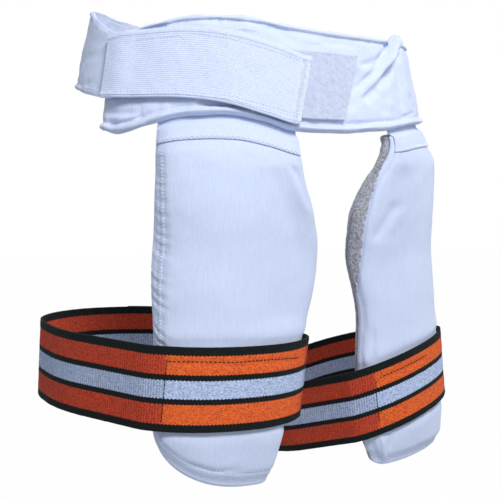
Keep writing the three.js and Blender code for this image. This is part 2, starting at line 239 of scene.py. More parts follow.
PATCH_TURNS = (-30, 3)
PATCH_SLANT = 8.4
PATCH_LOW_UP = 0.125
PATCH_HIGH = 0.185
PATCH_LIFT = 1.12
# The raised line along the patch's top: its height, where it is and its width.
PATCH_EDGE = (0.35, 0.985, 0.012)
# The most that the belt's relief may rise under the patch.
PATCH_SEAT = 0.075

# The round of a thigh: degrees from the front towards the inner side, and the radius as a share.
THIGH_ROUND = np.array(
    [
        (-225, 1.0),
        (-180, 1.12),
        (-145, 1.1),
        (-112, 0.91),
        (-75, 0.82),
        (-40, 0.86),
        (-5, 0.99),
        (25, 1.07),
        (60, 0.95),
        (95, 0.82),
        (135, 1.0),
        (180, 1.12),
        (215, 1.1),
    ]
)

# The share down a pad, then its outer edge, the right and the left pad's inner edge, and the thickness.
PAD_DOWN = np.array(
    [
        (0, -34, 30, 30, 0.4),
        (0.035, -35, 32, 42, 0.62),
        (0.1, -38, 36, 47, 1),
        (0.2, -39.3, 38, 38, 1.03),
        (0.3, -40, 38.5, 29.5, 1.04),
        (0.45, -40, 37.5, 26, 1),
        (0.55, -39, 34.5, 25, 1),
        (0.7, -37, 30, 27.5, 0.92),
        (0.85, -36, 24, 29, 0.9),
        (0.96, -35, 21.5, 28, 0.8),
        (1, -35, 20.5, 26.5, 0.4),
    ]
)
PAD_ACROSS = np.array(
    [
        (0, 0.4),
        (0.03, 0.6),
        (0.12, 0.86),
        (0.3, 0.98),
        (0.5, 1.04),
        (0.72, 1.02),
        (0.88, 0.92),
        (0.96, 0.72),
        (1, 0.45),
    ]
)
LINING_ACROSS = np.array([(0, 0.45), (0.1, 0.6), (0.8, 0.7), (1, 1)])

# The end of the band that a pad hangs by, on the pad: the share of its cover, the share of its wall, and
# how far it is lifted.
HANGER_END = ((0, 1, 2 * CLEARANCE), (0.5, 0.75, 0.75 * HANGER_LIFT), (1, 0.45, 0.6 * HANGER_LIFT))


def along(table, column, place):
    """The value of a table's column at a place in its first column, on a smooth curve through the rows."""
    keys, values = table[:, 0], table[:, column]
    slopes = np.zeros(len(keys))
    slopes[1:-1] = (values[2:] - values[:-2]) / (keys[2:] - keys[:-2])
    place = np.clip(np.asarray(place, float), keys[0], keys[-1])
    row = np.clip(np.searchsorted(keys, place) - 1, 0, len(keys) - 2)
    span = keys[row + 1] - keys[row]
    share = (place - keys[row]) / span
    square, cube = share**2, share**3
    return (
        (2 * cube - 3 * square + 1) * values[row]
        + (cube - 2 * square + share) * span * slopes[row]
        + (3 * square - 2 * cube) * values[row + 1]
        + (cube - square) * span * slopes[row + 1]
    )


def mix(low, high, share):
    """The value a share of the way from low to high."""
    return low + (high - low) * share


def ease(low, high, value):
    """A smooth step from 0 at low to 1 at high."""
    share = np.clip((value - low) / (high - low), 0, 1)
    return share * share * (3 - 2 * share)


def hump(value, width):
    """A smooth hump that is 1 at 0 and almost gone at twice the width."""
    return np.exp(-((value / width) ** 2))


def unit(vectors):
    """These vectors at length 1."""
    return vectors / np.maximum(np.linalg.norm(vectors, axis=-1, keepdims=True), 1e-12)


def ripple(points, scale, seed, waves=14):
    """Smooth noise from about -1 to 1 at points in millimetres, with lumps of about this scale."""
    random = np.random.default_rng(seed)
    turns = unit(random.normal(size=(waves, 3)))
    sizes = random.uniform(0.6, 1.6, waves) * 2 * np.pi / (2.2 * scale)
    starts = random.uniform(0, 2 * np.pi, waves)
    return np.sin(points @ (turns * sizes[:, None]).T + starts).sum(1) / math.sqrt(waves)


def on_waist(turn, height, out):
    """A place on the waist's round, at a turn in degrees, a height and a distance out."""
    grow = out - height * WAIST_LEAN
    angle = np.radians(turn)
    across = (WAIST_HALF_WIDTH + grow) * np.sin(angle)
    return np.stack([across, -(WAIST_HALF_DEPTH + grow) * np.cos(angle), height + 0 * angle], -1)


def belt_low(turn):
    """The height of the belt's lower edge."""
    return BELT_HEIGHT * along(BELT_RUN, LOW, turn)


def belt_high(turn):
    """The height of the belt's upper edge."""
    return BELT_HEIGHT * along(BELT_RUN, HIGH, turn)


def belt_fold(turn, height):
    """How far the slanting fold raises the belt's face, with a pressed line on both its sides."""
    low, high = FOLD_LOW[1] * BELT_HEIGHT, FOLD_HIGH[1] * BELT_HEIGHT
    share = (height - low) / (high - low)
    away = np.radians(turn - mix(FOLD_LOW[0], FOLD_HIGH[0], share)) * WAIST_HALF_WIDTH
    raised = FOLD_CREST[0] * FOLD_HEIGHT * hump(away, FOLD_WIDTH * FOLD_CREST[1])
    for middle, depth, width in FOLD_PRESSED:
        raised -= depth * hump(away - middle, width)
    return ease(*FOLD_GROWS, share) * raised


def belt_place(share, up, face):
    """A place on the belt, at a share round it and a share up it."""
    turn = mix(BELT_RUN[0, 0], BELT_RUN[-1, 0], share)
    height = mix(belt_low(turn), belt_high(turn), up)
    lift = BELT_WALL * along(BELT_RUN, LIFT, turn)
    if face == 0:
        return on_waist(turn, height, lift)
    # The back end is flat, and thinner only at its two edges.
    flat = 0.9 - 0.3 * hump(np.minimum(up, 1 - up), 0.03)
    profile = mix(along(BELT_FACE, 1, up), flat, ease(*BELT_BACK_END, turn))
    thick = BELT_WALL * along(BELT_RUN, WALL, turn) * profile
    return on_waist(turn, height, lift + thick)


def flap_place(share, up, face):
    """A place on the closing flap. Its free end has a second layer, and its edges have hems."""
    turn = mix(FLAP_RUN[0, 0], FLAP_RUN[-1, 0], share)
    low = BELT_HEIGHT * along(FLAP_RUN, LOW, turn)
    high = BELT_HEIGHT * along(FLAP_RUN, HIGH, turn)
    lift = BELT_WALL * along(FLAP_RUN, FLAP_LIFT, turn) + CLEARANCE
    hem = FLAP_HEM * (hump(up - FLAP_HEM_UP, FLAP_HEM_WIDTH) + hump(up - 1 + FLAP_HEM_UP, FLAP_HEM_WIDTH))
    doubled = FLAP_DOUBLED * ease(*FLAP_DOUBLED_FROM, share)
    slant = FLAP_END_SLANT * share**2 * (up - 0.5)
    return on_waist(turn + slant, mix(low, high, up), lift + face * (FLAP_WALL + hem + doubled))


def patch_place(share, up, face):
    """A place on the loop patch that the flap fastens to."""
    turn = mix(PATCH_TURNS[0], PATCH_TURNS[1] + PATCH_SLANT * (up - 0.5), share)
    low = mix(belt_low(turn), belt_high(turn), PATCH_LOW_UP)
    height = mix(low, BELT_HEIGHT * PATCH_HIGH, up)
    edge = PATCH_EDGE[0] * hump(up - PATCH_EDGE[1], PATCH_EDGE[2])
    return on_waist(turn, height, BELT_WALL * PATCH_LIFT + CLEARANCE + face * (PATCH_WALL + edge))


def flap_tape_place(share, up, face):
    """A place on the hook tape under the flap's end."""
    turn = mix(FLAP_TAPE_TURN, FLAP_RUN[-1, 0] - FLAP_TAPE_END, share)
    height = BELT_HEIGHT * FLAP_TAPE_MIDDLE + (up - 0.5) * FLAP_TAPE_HEIGHT
    under = BELT_WALL * PATCH_LIFT + 2 * CLEARANCE + PATCH_WALL
    return on_waist(turn, height, under + face * TAPE_WALL)


def wrap(angle):
    """An angle in degrees, from -180 to 180."""
    return (angle + 180) % 360 - 180


def thigh_radius(leg, angle, height):
    """A thigh's radius at an angle and a height."""
    size = THIGH_HALF_DEPTH * (1 - THIGH_TAPER * (-height / leg.strap_drop - 1))
    return size * along(THIGH_ROUND, 1, wrap(angle))


def on_thigh(leg, angle, height, out):
    """A place round a thigh, at an angle in degrees, a height and a distance out."""
    radius = thigh_radius(leg, angle, height) + out
    turned = np.radians(angle)
    middle = leg.apart - leg.splay * (height + leg.strap_drop)
    x = leg.side * (middle - radius * np.sin(turned))
    return np.stack([x, leg.back - radius * np.cos(turned), height + 0 * turned], -1)


def hang_turn(leg, across):
    """The turn on the waist that a share across a pad hangs from."""
    return leg.side * mix(leg.outer_turn, leg.inner_turn, across)


def corner_rise(corner, across):
    """How far a lower corner is cut away upwards, at a share across from its own edge."""
    rise, reach, bend = corner
    near = np.maximum(0, 1 - across / reach)
    return rise * mix(near, 1 - np.sqrt(1 - near**2), bend)


def pad_height(leg, across, down):
    """The height of a pad at a share across and a share down, with its lower corners cut away."""
    upper = belt_low(hang_turn(leg, across)) - HANGER_RIM_GAP
    rise = corner_rise(leg.outer_corner, across) + corner_rise(leg.inner_corner, 1 - across)
    middle = belt_low(hang_turn(leg, 0.5)) - HANGER_RIM_GAP
    return mix(upper, middle - leg.pad_length + rise, down)


def lining_wall(across):
    """The lining's thickness at a share across."""
    return LINING_WALL * along(LINING_ACROSS, 1, across)


def pad_back(across):
    """How far a pad's back stands from the wearer."""
    return lining_wall(across) + 2 * CLEARANCE


def pad_front(across, down):
    """How far a pad's front stands from the wearer."""
    low = along(PAD_DOWN, 4, down)
    side = along(PAD_ACROSS, 1, across)
    share = np.minimum(np.minimum(low, side), low * side + PAD_CORNER_SOFTNESS)
    return pad_back(across) + PAD_WALL * share


def pad_edges(leg, down):
    """The angles round the thigh of a pad's outer and inner edge."""
    return along(PAD_DOWN, 1, down), along(PAD_DOWN, 2 if leg is RIGHT else 3, down)


def on_pad(leg, across, down, out):
    """A place on a pad: it follows the waist at its top and the thigh further down."""
    height = pad_height(leg, across, down)
    outer, inner = pad_edges(leg, down)
    top = on_waist(hang_turn(leg, across), height, out - PAD_INSET)
    low = on_thigh(leg, mix(outer, inner, across), height, out)
    return mix(top, low, ease(0, PAD_BLEND, down)[..., None])


def pad_place(leg, across, down, face):
    """A place on a pad's two faces."""
    return on_pad(leg, across, down, pad_front(across, down) if face else pad_back(across))


def lining_place(leg, across, down, face):
    """A place on a lining's two faces."""
    return on_pad(leg, across, down, lining_wall(across) if face else 0 * across)


def hanger_place(leg, across, up, face):
    """A place on the band a pad hangs by: from behind the belt's edge, down over the pad."""
    wall = face * HANGER_WALL
    behind = wall - HANGER_WALL - 2 * CLEARANCE
    turn = hang_turn(leg, across)
    drops = ((-HANGER_TUCK, behind), (-1, behind), (HANGER_RIM_GAP * 0.5, wall - HANGER_WALL))
    rows = [on_waist(turn, belt_low(turn) - drop, out + 0 * across) for drop, out in drops]
    for share, thin, lift in HANGER_END:
        down = share * HANGER_COVER / leg.pad_length + 0 * across
        rows.append(on_pad(leg, across, down, pad_front(across, down) + wall * thin + lift))
    step = np.clip(up * (len(rows) - 1), 0, len(rows) - 1 - 1e-9)
    found = np.zeros((len(across), 3))
    for n in range(len(rows) - 1):
        here = np.floor(step) == n
        found[here] = mix(rows[n], rows[n + 1], (step - n)[:, None])[here]
    return found


def strap_lift(leg, angles):
    """How far a strap lies out from the thigh: over the pad, and close to the thigh elsewhere."""
    turns = wrap(angles[:, None, None] + np.arange(-STRAP_REACH, STRAP_REACH + 1)[None, :, None])
    downs = np.array(STRAP_DOWNS)[None, None, :] + 0 * turns
    outer, inner = pad_edges(leg, downs)
    across = (turns - outer) / (inner - outer)
    on_it = (across >= 0) & (across <= 1)
    stand = np.where(on_it, pad_front(np.clip(across, 0, 1), downs) + CLEARANCE, 0)
    return np.maximum(STRAP_SLACK, stand.max((1, 2)))


@cache
def taut_round(leg):
    """The radius of the taut elastic at even steps: it runs straight over each hollow."""
    step = 360 / STRAP_STEPS
    angles = np.arange(STRAP_STEPS) * step
    loose = thigh_radius(leg, angles, -leg.strap_drop) + strap_lift(leg, angles)
    most = loose.copy()
    widest = round(STRAP_BRIDGE / step)
    for back in range(1, widest + 1):
        for ahead in range(1, widest + 1):
            before, after = np.roll(loose, back), np.roll(loose, -ahead)
            a, b = math.radians(back * step), math.radians(ahead * step)
            chord = before * after * math.sin(a + b) / (before * math.sin(a) + after * math.sin(b))
            most = np.maximum(most, chord)
    return most


def strap_run(leg, angle):
    """How far the taut elastic lies out from the thigh at an angle."""
    radii = taut_round(leg)
    radius = np.interp(angle % 360, np.linspace(0, 360, STRAP_STEPS + 1), np.append(radii, radii[0]))
    return radius - thigh_radius(leg, angle, -leg.strap_drop)


def strap_middle(leg, points):
    """The height of a strap's middle line at points in millimetres."""
    outward = leg.side * points[:, 0] - leg.apart
    back = leg.strap_tilt_back * (points[:, 1] + THIGH_HALF_DEPTH)
    return -leg.strap_drop + leg.strap_tilt_out * outward + back


def on_strap(leg, angle, up, out):
    """A place on a strap: an angle round it, a distance up from its middle and a distance out."""
    run = strap_run(leg, angle) + out
    flat = on_thigh(leg, angle, -leg.strap_drop + 0 * angle, run)
    return on_thigh(leg, angle, strap_middle(leg, flat) + up, run)


def overlap_lift(angle):
    """How far the outer end of a strap is raised over its inner end."""
    stack = STRAP_WALL + TAPE_WALL + 3 * CLEARANCE
    meet = STRAP_START + 360
    return stack * ease(meet - STRAP_RISE[0], meet - STRAP_RISE[1], angle)


def strap_place(leg, share, up, face):
    """A place on a strap's two faces."""
    angle = mix(STRAP_START, STRAP_START + 360 + STRAP_OVERLAP, share)
    return on_strap(leg, angle, (up - 0.5) * leg.strap_width, overlap_lift(angle) + face * STRAP_WALL)


def strap_tape_place(leg, share, up, face):
    """A place on the hook tape between a strap's two ends."""
    first, last = STRAP_TAPE_ENDS
    angle = mix(STRAP_START + first, STRAP_START + STRAP_OVERLAP - last, share)
    out = STRAP_WALL + STRAP_TAPE_GAP + face * TAPE_WALL
    return on_strap(leg, angle, (up - 0.5) * STRAP_TAPE_WIDTH, out)


def photo_axes():
    """The photograph's viewing direction, its right and its up, as rows."""
    forward = (CAMERA_TARGET - CAMERA_PLACE).normalized()
    right = forward.cross(Vector((0, 0, 1))).normalized()
    return np.array([forward, right, right.cross(forward)])


def photo_pixels(points):
    """Where points in millimetres are in the photograph, in pixels."""
    depth, right, up = ((points * MM - np.array(CAMERA_PLACE)) @ photo_axes().T).T
    middle = PHOTO_SIDE / 2
    return np.stack([middle + FOCAL_PIXELS * right / depth, middle - FOCAL_PIXELS * up / depth], -1)


def facing(points, normals):
    """How far a surface faces the photograph's camera, from 0 to 1."""
    to_camera = unit(np.array(CAMERA_PLACE) - points * MM)
    return ease(0.05, 0.35, (normals * to_camera).sum(1))


def crease(points, normals, line, width, height, taper=0.25):
    """A fold or a dent along a line of pixels: its width in pixels, and its height in millimetres."""
    pixels = photo_pixels(points)
    line = np.array(line, float)
    starts, ends = line[:-1], line[1:]
    lengths = np.linalg.norm(ends - starts, axis=1)
    before = np.concatenate([[0], np.cumsum(lengths)])
    nearest = np.full(len(points), 1e9)
    share = np.zeros(len(points))
    for n, (start, end) in enumerate(zip(starts, ends)):
        way = end - start
        t = np.clip((pixels - start) @ way / (way @ way), 0, 1)
        away = np.linalg.norm(pixels - start - t[:, None] * way, axis=1)
        closer = away < nearest
        nearest = np.where(closer, away, nearest)
        share = np.where(closer, (before[n] + t * lengths[n]) / before[-1], share)
    fade = ease(0, taper, share) * ease(0, taper, 1 - share)
    return height * hump(nearest, width) * fade * facing(points, normals)


def spread(length, step, edge=8.0, fine=0.8):
    """Shares along a length, with finer steps at both ends."""
    near = np.arange(0, edge, fine)
    far = np.linspace(edge, length - edge, max(2, round((length - 2 * edge) / step)))
    return np.concatenate([near, far, length - near[::-1]]) / length


def path_length(points):
    """The distance along a row of points, at each of them."""
    return np.concatenate([[0], np.cumsum(np.linalg.norm(np.diff(points, axis=0), axis=1))])


def grid_normals(outer, inner):
    """The outward normals of a grid of points."""
    normals = unit(np.cross(np.gradient(outer, axis=0), np.gradient(outer, axis=1)))
    outward = ((outer - inner) * normals).sum(-1).mean()
    return normals if outward > 0 else -normals


def border_of(columns, rows):
    """The places in a grid's border, in order, and the place just inside each of them."""
    ring = [(c, 0) for c in range(columns)] + [(columns - 1, r) for r in range(1, rows)]
    ring += [(c, rows - 1) for c in range(columns - 2, -1, -1)] + [(0, r) for r in range(rows - 2, 0, -1)]
    ring = np.array(ring)
    inside = np.stack([np.clip(ring[:, 0], 1, columns - 2), np.clip(ring[:, 1], 1, rows - 2)], -1)
    return ring[:, 0] * rows + ring[:, 1], inside[:, 0] * rows + inside[:, 1]


# No relief leaves a cloth thinner than this.
LEAST_WALL = 0.9


class Cloth:
    """A closed two-faced sheet of cloth: its object, its cut size and a way to lay stitches on it.

    A relief raises its outer face along the normals, a lining relief raises its inner face, and both says
    how far the inner face follows the outer face's relief.
    """

    def __init__(self, name, grid, place, relief=None, lining_relief=None, both=None, rim=3, swell=0.3):
        across, up = grid
        shape = (len(across), len(up))
        a, b = (grid.ravel() for grid in np.meshgrid(across, up, indexing="ij"))
        inner, outer = place(a, b, 0), place(a, b, 1)
        normals = grid_normals(outer.reshape(*shape, 3), inner.reshape(*shape, 3)).reshape(-1, 3)
        if relief is not None:
            raised = relief(a, b, outer, normals)[:, None] * normals
            outer = outer + raised
            inner = inner + raised * both(a, b)[:, None] if both else inner
        if lining_relief is not None:
            inner = inner - lining_relief(a, b, inner, normals)[:, None] * normals
        gap = ((outer - inner) * normals).sum(1)
        outer = outer + np.maximum(0, LEAST_WALL - gap)[:, None] * normals
        self.place = place
        self.across = across
        self.span = path_length(place(np.asarray(across), np.full(len(across), 0.5), 1))
        self.rise = path_length(place(np.full(len(up), 0.5), np.asarray(up), 1))
        uv = np.stack([np.interp(a, across, self.span), np.interp(b, up, self.rise)], -1)
        points, faces, uvs = self.close(inner, outer, uv, shape, rim, swell)
        self.object = mesh_object(name, points * MM, faces, uvs * MM)
        self.points, self.faces, self.uvs = points, faces, uvs
        self.tree = BVHTree.FromPolygons((points * MM).tolist(), faces.tolist())

    @property
    def cut(self):
        """The width and length it was cut to, in metres."""
        return tuple(sorted((round(self.span[-1] * MM, 3), round(self.rise[-1] * MM, 3))))

    @staticmethod
    def close(inner, outer, uv, shape, rim, swell):
        """The points, faces and texture places of a closed sheet with a rounded rim."""
        columns, rows = shape
        count = columns * rows
        corner = (np.arange(columns - 1)[:, None] * rows + np.arange(rows - 1)[None, :]).ravel()
        front = np.stack([corner, corner + rows, corner + rows + 1, corner + 1], -1)
        border, inside = border_of(columns, rows)
        away = unit(outer[border] - outer[inside])
        thick = np.linalg.norm(outer[border] - inner[border], axis=1, keepdims=True)
        rings, places, marks = [border + count], [inner, outer], [uv, uv]
        for n in range(1, rim + 1):
            share = n / (rim + 1)
            bulge = swell * thick * math.sin(math.pi * share)
            rings.append(2 * count + (n - 1) * len(border) + np.arange(len(border)))
            places.append(mix(outer[border], inner[border], share) + away * bulge)
            marks.append(uv[border])
        rings.append(border)
        sides = [
            np.stack([near, far, np.roll(far, -1), np.roll(near, -1)], -1)
            for near, far in zip(rings[:-1], rings[1:])
        ]
        faces = np.concatenate([front + count, front[:, ::-1], *sides])
        points = np.concatenate(places)
        a, b, c = (points[faces[:, n]] for n in (0, 1, 2))
        d = points[faces[:, 3]]
        volume = (a * np.cross(b, c)).sum() + (a * np.cross(c, d)).sum()
        return points, faces if volume > 0 else faces[:, ::-1], np.concatenate(marks)

    def mark(self, slot, chosen):
        """Gives the faces chosen by their middles, and by their shares across, another material slot."""
        middles = self.points[self.faces].mean(1)
        across = np.interp(self.uvs[self.faces].mean(1)[:, 0], self.span, self.across)
        marks = np.where(chosen(middles, across), slot, 0).astype(np.int32)
        self.object.data.polygons.foreach_set("material_index", marks)

    def settle(self, points):
        """The nearest places on the cloth to points in millimetres, and the normals there."""
        found = [self.tree.find_nearest(Vector(point * MM)) for point in points]
        return np.array([hit[0] for hit in found]) / MM, np.array([hit[1] for hit in found])

    def line(self, shares, ups, step=0.8, lift=1.0):
        """A line on the outer face through shares across and up, at even steps."""
        shares, ups = np.broadcast_arrays(np.asarray(shares, float), np.asarray(ups, float))
        dense = np.linspace(0, len(shares) - 1, 60 * (len(shares) - 1) + 1)
        shares = np.interp(dense, np.arange(len(shares)), shares)
        ups = np.interp(dense, np.arange(len(ups)), ups)
        outer, inner = self.place(shares, ups, 1), self.place(shares, ups, 0)
        path = even_path(outer + lift * unit(outer - inner), step)
        return self.settle(path)

    def seen(self, pixels, step=0.8):
        """A line on the cloth through pixels of the photograph, at even steps."""
        pixels = np.array(pixels, float)
        dense = np.linspace(0, len(pixels) - 1, 40 * (len(pixels) - 1) + 1)
        marks = np.arange(len(pixels))
        forward, right, up = photo_axes()
        middle = PHOTO_SIDE / 2
        hits = []
        for x, y in zip(np.interp(dense, marks, pixels[:, 0]), np.interp(dense, marks, pixels[:, 1])):
            way = forward + right * (x - middle) / FOCAL_PIXELS - up * (y - middle) / FOCAL_PIXELS
            hit = self.tree.ray_cast(CAMERA_PLACE, Vector(way))
            if hit[0] is not None:
                hits.append(hit[0])
        return self.settle(even_path(np.array(hits) / MM, step))


def sample(values, marks, at):
    """Rows of three values at these distances along a path that has them at its marks."""
    return np.stack([np.interp(at, marks, values[:, n]) for n in range(3)], -1)


def even_path(points, step):
    """A path through these points at even steps."""
    length = path_length(points)
    return sample(points, length, np.linspace(0, length[-1], max(3, round(length[-1] / step) + 1)))


def mesh_object(name, points, faces, uvs=None):
    """A smooth-shaded object of these points and faces, in metres."""
    mesh = bpy.data.meshes.new(name)
    mesh.from_pydata(points.tolist(), [], faces.tolist())
    mesh.polygons.foreach_set("use_smooth", np.ones(len(mesh.polygons), bool))
    if uvs is not None:
        corners = np.zeros(len(mesh.loops), np.int32)
        mesh.loops.foreach_get("vertex_index", corners)
        layer = mesh.uv_layers.new(name="UVMap")
        layer.data.foreach_set("uv", uvs[corners].astype(np.float32).ravel())
    mesh.update()
    made = bpy.data.objects.new(name, mesh)
    bpy.context.scene.collection.objects.link(made)
    return made


def threads(name, runs, radius, material, sides=5):
    """One object of many short threads. A run is points and normals, in millimetres."""
    points, faces, count = [], [], 0
    around = np.arange(sides) * 2 * np.pi / sides
    for path, normals in runs:
        tangent = unit(np.gradient(path, axis=0))
        side = unit(np.cross(tangent, normals))
        up = np.cross(side, tangent)
        thin = np.ones(len(path))
        thin[0] = thin[-1] = 0.35
        ring = np.cos(around)[None, :, None] * up[:, None] + np.sin(around)[None, :, None] * side[:, None]
        points.append((path[:, None] + radius * thin[:, None, None] * ring).reshape(-1, 3))
        first = np.arange(len(path) - 1)[:, None] * sides
        rows = (first + np.arange(sides)).ravel()
        beside = (first + (np.arange(sides) + 1) % sides).ravel()
        faces.append(count + np.stack([rows, beside, beside + sides, rows + sides], -1))
        count += len(path) * sides
    made = mesh_object(name, np.concatenate(points) * MM, np.concatenate(faces))
    made.data.materials.append(material)
    return made


def dashes(line, length=2.4, gap=0.9, lift=0.12):
    """A row of straight stitches along a line."""
    path, normals = line
    marks = path_length(path)
    runs = []
    for start in np.arange(0.3, marks[-1] - length, length + gap):
        at = start + length * np.array([0, 0.18, 0.5, 0.82, 1])
        normal = unit(sample(normals, marks, at))
        sink = np.array([-0.35, lift * 0.6, lift, lift * 0.6, -0.35])
        runs.append((sample(path, marks, at) + normal * sink[:, None], normal))
    return runs


def zigzag(cloth, line, width, pitch, lift=0.15):
    """A zigzag seam along a line: short slanting stitches from side to side."""
    path, normals = line
    marks = path_length(path)
    side = unit(np.cross(np.gradient(path, axis=0), normals))
    runs = []
    for n, start in enumerate(np.arange(0, marks[-1] - pitch / 2, pitch / 2)):
        at = start + pitch / 2 * np.array([0, 0.15, 0.5, 0.85, 1])
        swing = width / 2 * np.array([-1, -0.7, 0, 0.7, 1]) * (1 if n % 2 else -1)
        settled, normal = cloth.settle(sample(path, marks, at) + sample(side, marks, at) * swing[:, None])
        sink = np.array([-0.3, lift * 0.7, lift, lift * 0.7, -0.3])
        runs.append((settled + normal * sink[:, None], normal))
    return runs


class Shader:
    """The nodes of a material or a world, added step by step."""

    def __init__(self, owner):
        self.owner = owner
        owner.use_nodes = True
        self.tree = owner.node_tree
        self.tree.nodes.clear()

    def node(self, kind, inputs=None, **settings):
        """A node with these settings. An input is a value or another node's output."""
        made = self.tree.nodes.new("ShaderNode" + kind)
        for key, value in settings.items():
            setattr(made, key, value)
        for key, value in (inputs or {}).items():
            if isinstance(value, bpy.types.NodeSocket):
                self.tree.links.new(value, made.inputs[key])
            else:
                made.inputs[key].default_value = value
        return made

    def math(self, operation, *values):
        """The output of a Math node."""
        return self.node("Math", dict(enumerate(values)), operation=operation).outputs[0]

    def weigh(self, *parts):
        """The sum of these values, each times its weight."""
        total = None
        for value, weight in parts:
            part = value if weight == 1.0 else self.math("MULTIPLY", value, weight)
            total = part if total is None else self.math("ADD", total, part)
        return total

    def wave(self, place, pitch):
        """A wave from -1 to 1 along a place in millimetres."""
        return self.math("SINE", self.math("MULTIPLY", place, 2 * math.pi / pitch))

    def noise(self, place, scale, detail=3.0, rough=0.55):
        """A noise texture's value at a place in metres, with lumps of about this size in millimetres."""
        inputs = {"Vector": place, "Scale": 1000 / scale, "Detail": detail, "Roughness": rough}
        return self.node("TexNoise", inputs).outputs["Fac"]

    def cells(self, scale, **settings):
        """The closeness to the middles of cells of about this size in millimetres."""
        made = self.node("TexVoronoi", {"Vector": self.place(), "Scale": 1000 / scale}, **settings)
        return self.math("SUBTRACT", 1.0, made.outputs["Distance"])

    def remap(self, value, low, high, to_low=0.0, to_high=1.0):
        """A value from one range mapped smoothly to another."""
        inputs = {"Value": value, 1: low, 2: high, 3: to_low, 4: to_high}
        return self.node("MapRange", inputs, interpolation_type="SMOOTHSTEP").outputs[0]

    def blend(self, share, first, second):
        """Two colours mixed by a share."""
        inputs = {0: share, 6: first, 7: second}
        return self.node("Mix", inputs, data_type="RGBA").outputs[2]

    def mottle(self, shade, limits, colour, dark, light):
        """A colour that goes from a dark to a light factor as a value goes from one limit to the other."""
        return self.blend(self.remap(shade, *limits), tint(colour, dark), tint(colour, light))

    def uv(self):
        """The texture place in millimetres, across and up."""
        inputs = {0: self.node("TexCoord").outputs["UV"], 1: (1000,) * 3}
        scaled = self.node("VectorMath", inputs, operation="MULTIPLY")
        parts = self.node("SeparateXYZ", {0: scaled.outputs[0]}).outputs
        return parts[0], parts[1]

    def place(self):
        """The place on the object in metres."""
        return self.node("TexCoord").outputs["Object"]

    def stretched(self, across, up):
        """The place on the object, scaled so that textures are longer one way."""
        return self.node("Mapping", {0: self.place(), 3: (across, across, up)}).outputs[0]

    def finish(self, colour, height, depth, roughness, sheen=0.0):
        """Joins the colour, the bump of this depth in millimetres and the roughness to the shader."""
        bump = self.node("Bump", {"Height": height, "Distance": depth * MM, "Strength": 1.0})
        inputs = {
            "Base Color": colour,
            "Roughness": roughness,
            "Normal": bump.outputs[0],
            "Sheen Weight": sheen,
            "Sheen Roughness": 0.6,
            "Specular IOR Level": 0.25,
        }
        self.node("OutputMaterial", {"Surface": self.node("BsdfPrincipled", inputs).outputs[0]})
        return self.owner


def material_shader(name):
    """The empty shader of the material of this name, which is made where there is none."""
    return Shader(bpy.data.materials.get(name) or bpy.data.materials.new(name))


def tint(colour, factor):
    """A colour with its brightness changed, as four numbers."""
    return tuple(min(1.0, part * factor) for part in colour[:3]) + (1.0,)


def cotton_material(colour):
    """Plain woven polycotton, with fine threads, slubs along the cloth and slight unevenness."""
    s = material_shader("thigh_guard_cotton")
    across, up = s.uv()
    slub = s.noise(s.stretched(1.0, 0.12), 1.6, 2.0)
    grain = s.noise(s.place(), 1.1, 2.0, 0.7)
    broad = s.noise(s.place(), 16.0, 3.0)
    height = s.weigh((s.wave(across, 0.75), 0.18), (s.wave(up, 0.9), 0.18), (slub, 1.0), (broad, 1.6))
    shade = s.weigh((slub, 0.55), (grain, 0.45))
    base = s.mottle(shade, (0.32, 0.68), colour, 0.955, 1.02)
    return s.finish(base, height, 0.22, s.remap(grain, 0.3, 0.7, 0.82, 0.94), sheen=0.15)


def ribbed_material(colour):
    """Flat ribbed elastic: fine ribs along the band, broken up by the knit, with painted shade that makes the
    ribs' crests slightly lighter than their grooves.
    """
    s = material_shader("thigh_guard_ribbed_elastic")
    across, up = s.uv()
    rib = s.wave(s.weigh((up, 1.0), (s.noise(s.place(), 9.0), 0.5)), 1.75)
    grain = s.noise(s.stretched(0.35, 1.0), 0.9, 2.0, 0.7)
    height = s.weigh((rib, 1.0), (s.wave(across, 1.1), 0.2), (grain, 1.2))
    # The rib in the colour is painted shade: slightly lighter on the crests, darker in the grooves.
    base = s.mottle(s.weigh((rib, 0.035), (grain, 1.0)), (0.3, 0.7), colour, 0.9, 1.04)
    return s.finish(base, height, 0.1, s.remap(grain, 0.3, 0.7, 0.75, 0.9), sheen=0.1)


def pile_material(colour):
    """Fuzzy brushed loops, with a painted sheen: mottled lighter and darker where the fibres lie in different
    ways, lighter where the curls stand higher.
    """
    s = material_shader("thigh_guard_loop_pile")
    curl = s.noise(s.place(), 1.3, 4.0, 0.75)
    clump = s.noise(s.place(), 4.5, 3.0, 0.6)
    # The mottle is painted sheen, following the same curls and clumps that raise the bump.
    base = s.mottle(s.weigh((curl, 0.6), (clump, 0.4)), (0.34, 0.64), colour, 0.85, 1.08)
    return s.finish(base, s.weigh((curl, 1.5), (clump, 1.0)), 0.35, 0.95, sheen=0.3)


def terry_material(colour):
    """Terry towelling: rows of small loops, mottled grey."""
    s = material_shader("thigh_guard_terry")
    loop = s.cells(1.7, feature="SMOOTH_F1")
    clump = s.noise(s.place(), 3.2, 3.0, 0.65)
    base = s.mottle(s.weigh((loop, 0.4), (clump, 0.6)), (0.38, 0.68), colour, 0.62, 1.22)
    return s.finish(base, s.weigh((loop, 1.0), (clump, 1.0)), 0.7, 0.97, sheen=0.4)


# The shares up the elastic at which its seven stripes meet, and how far along it a sewn end fades.
STRIPE_SHARES = (0.09, 0.326, 0.394, 0.611, 0.68, 0.908)
STRIPE_EDGE = 0.003
SEWN_FADE = 2.0


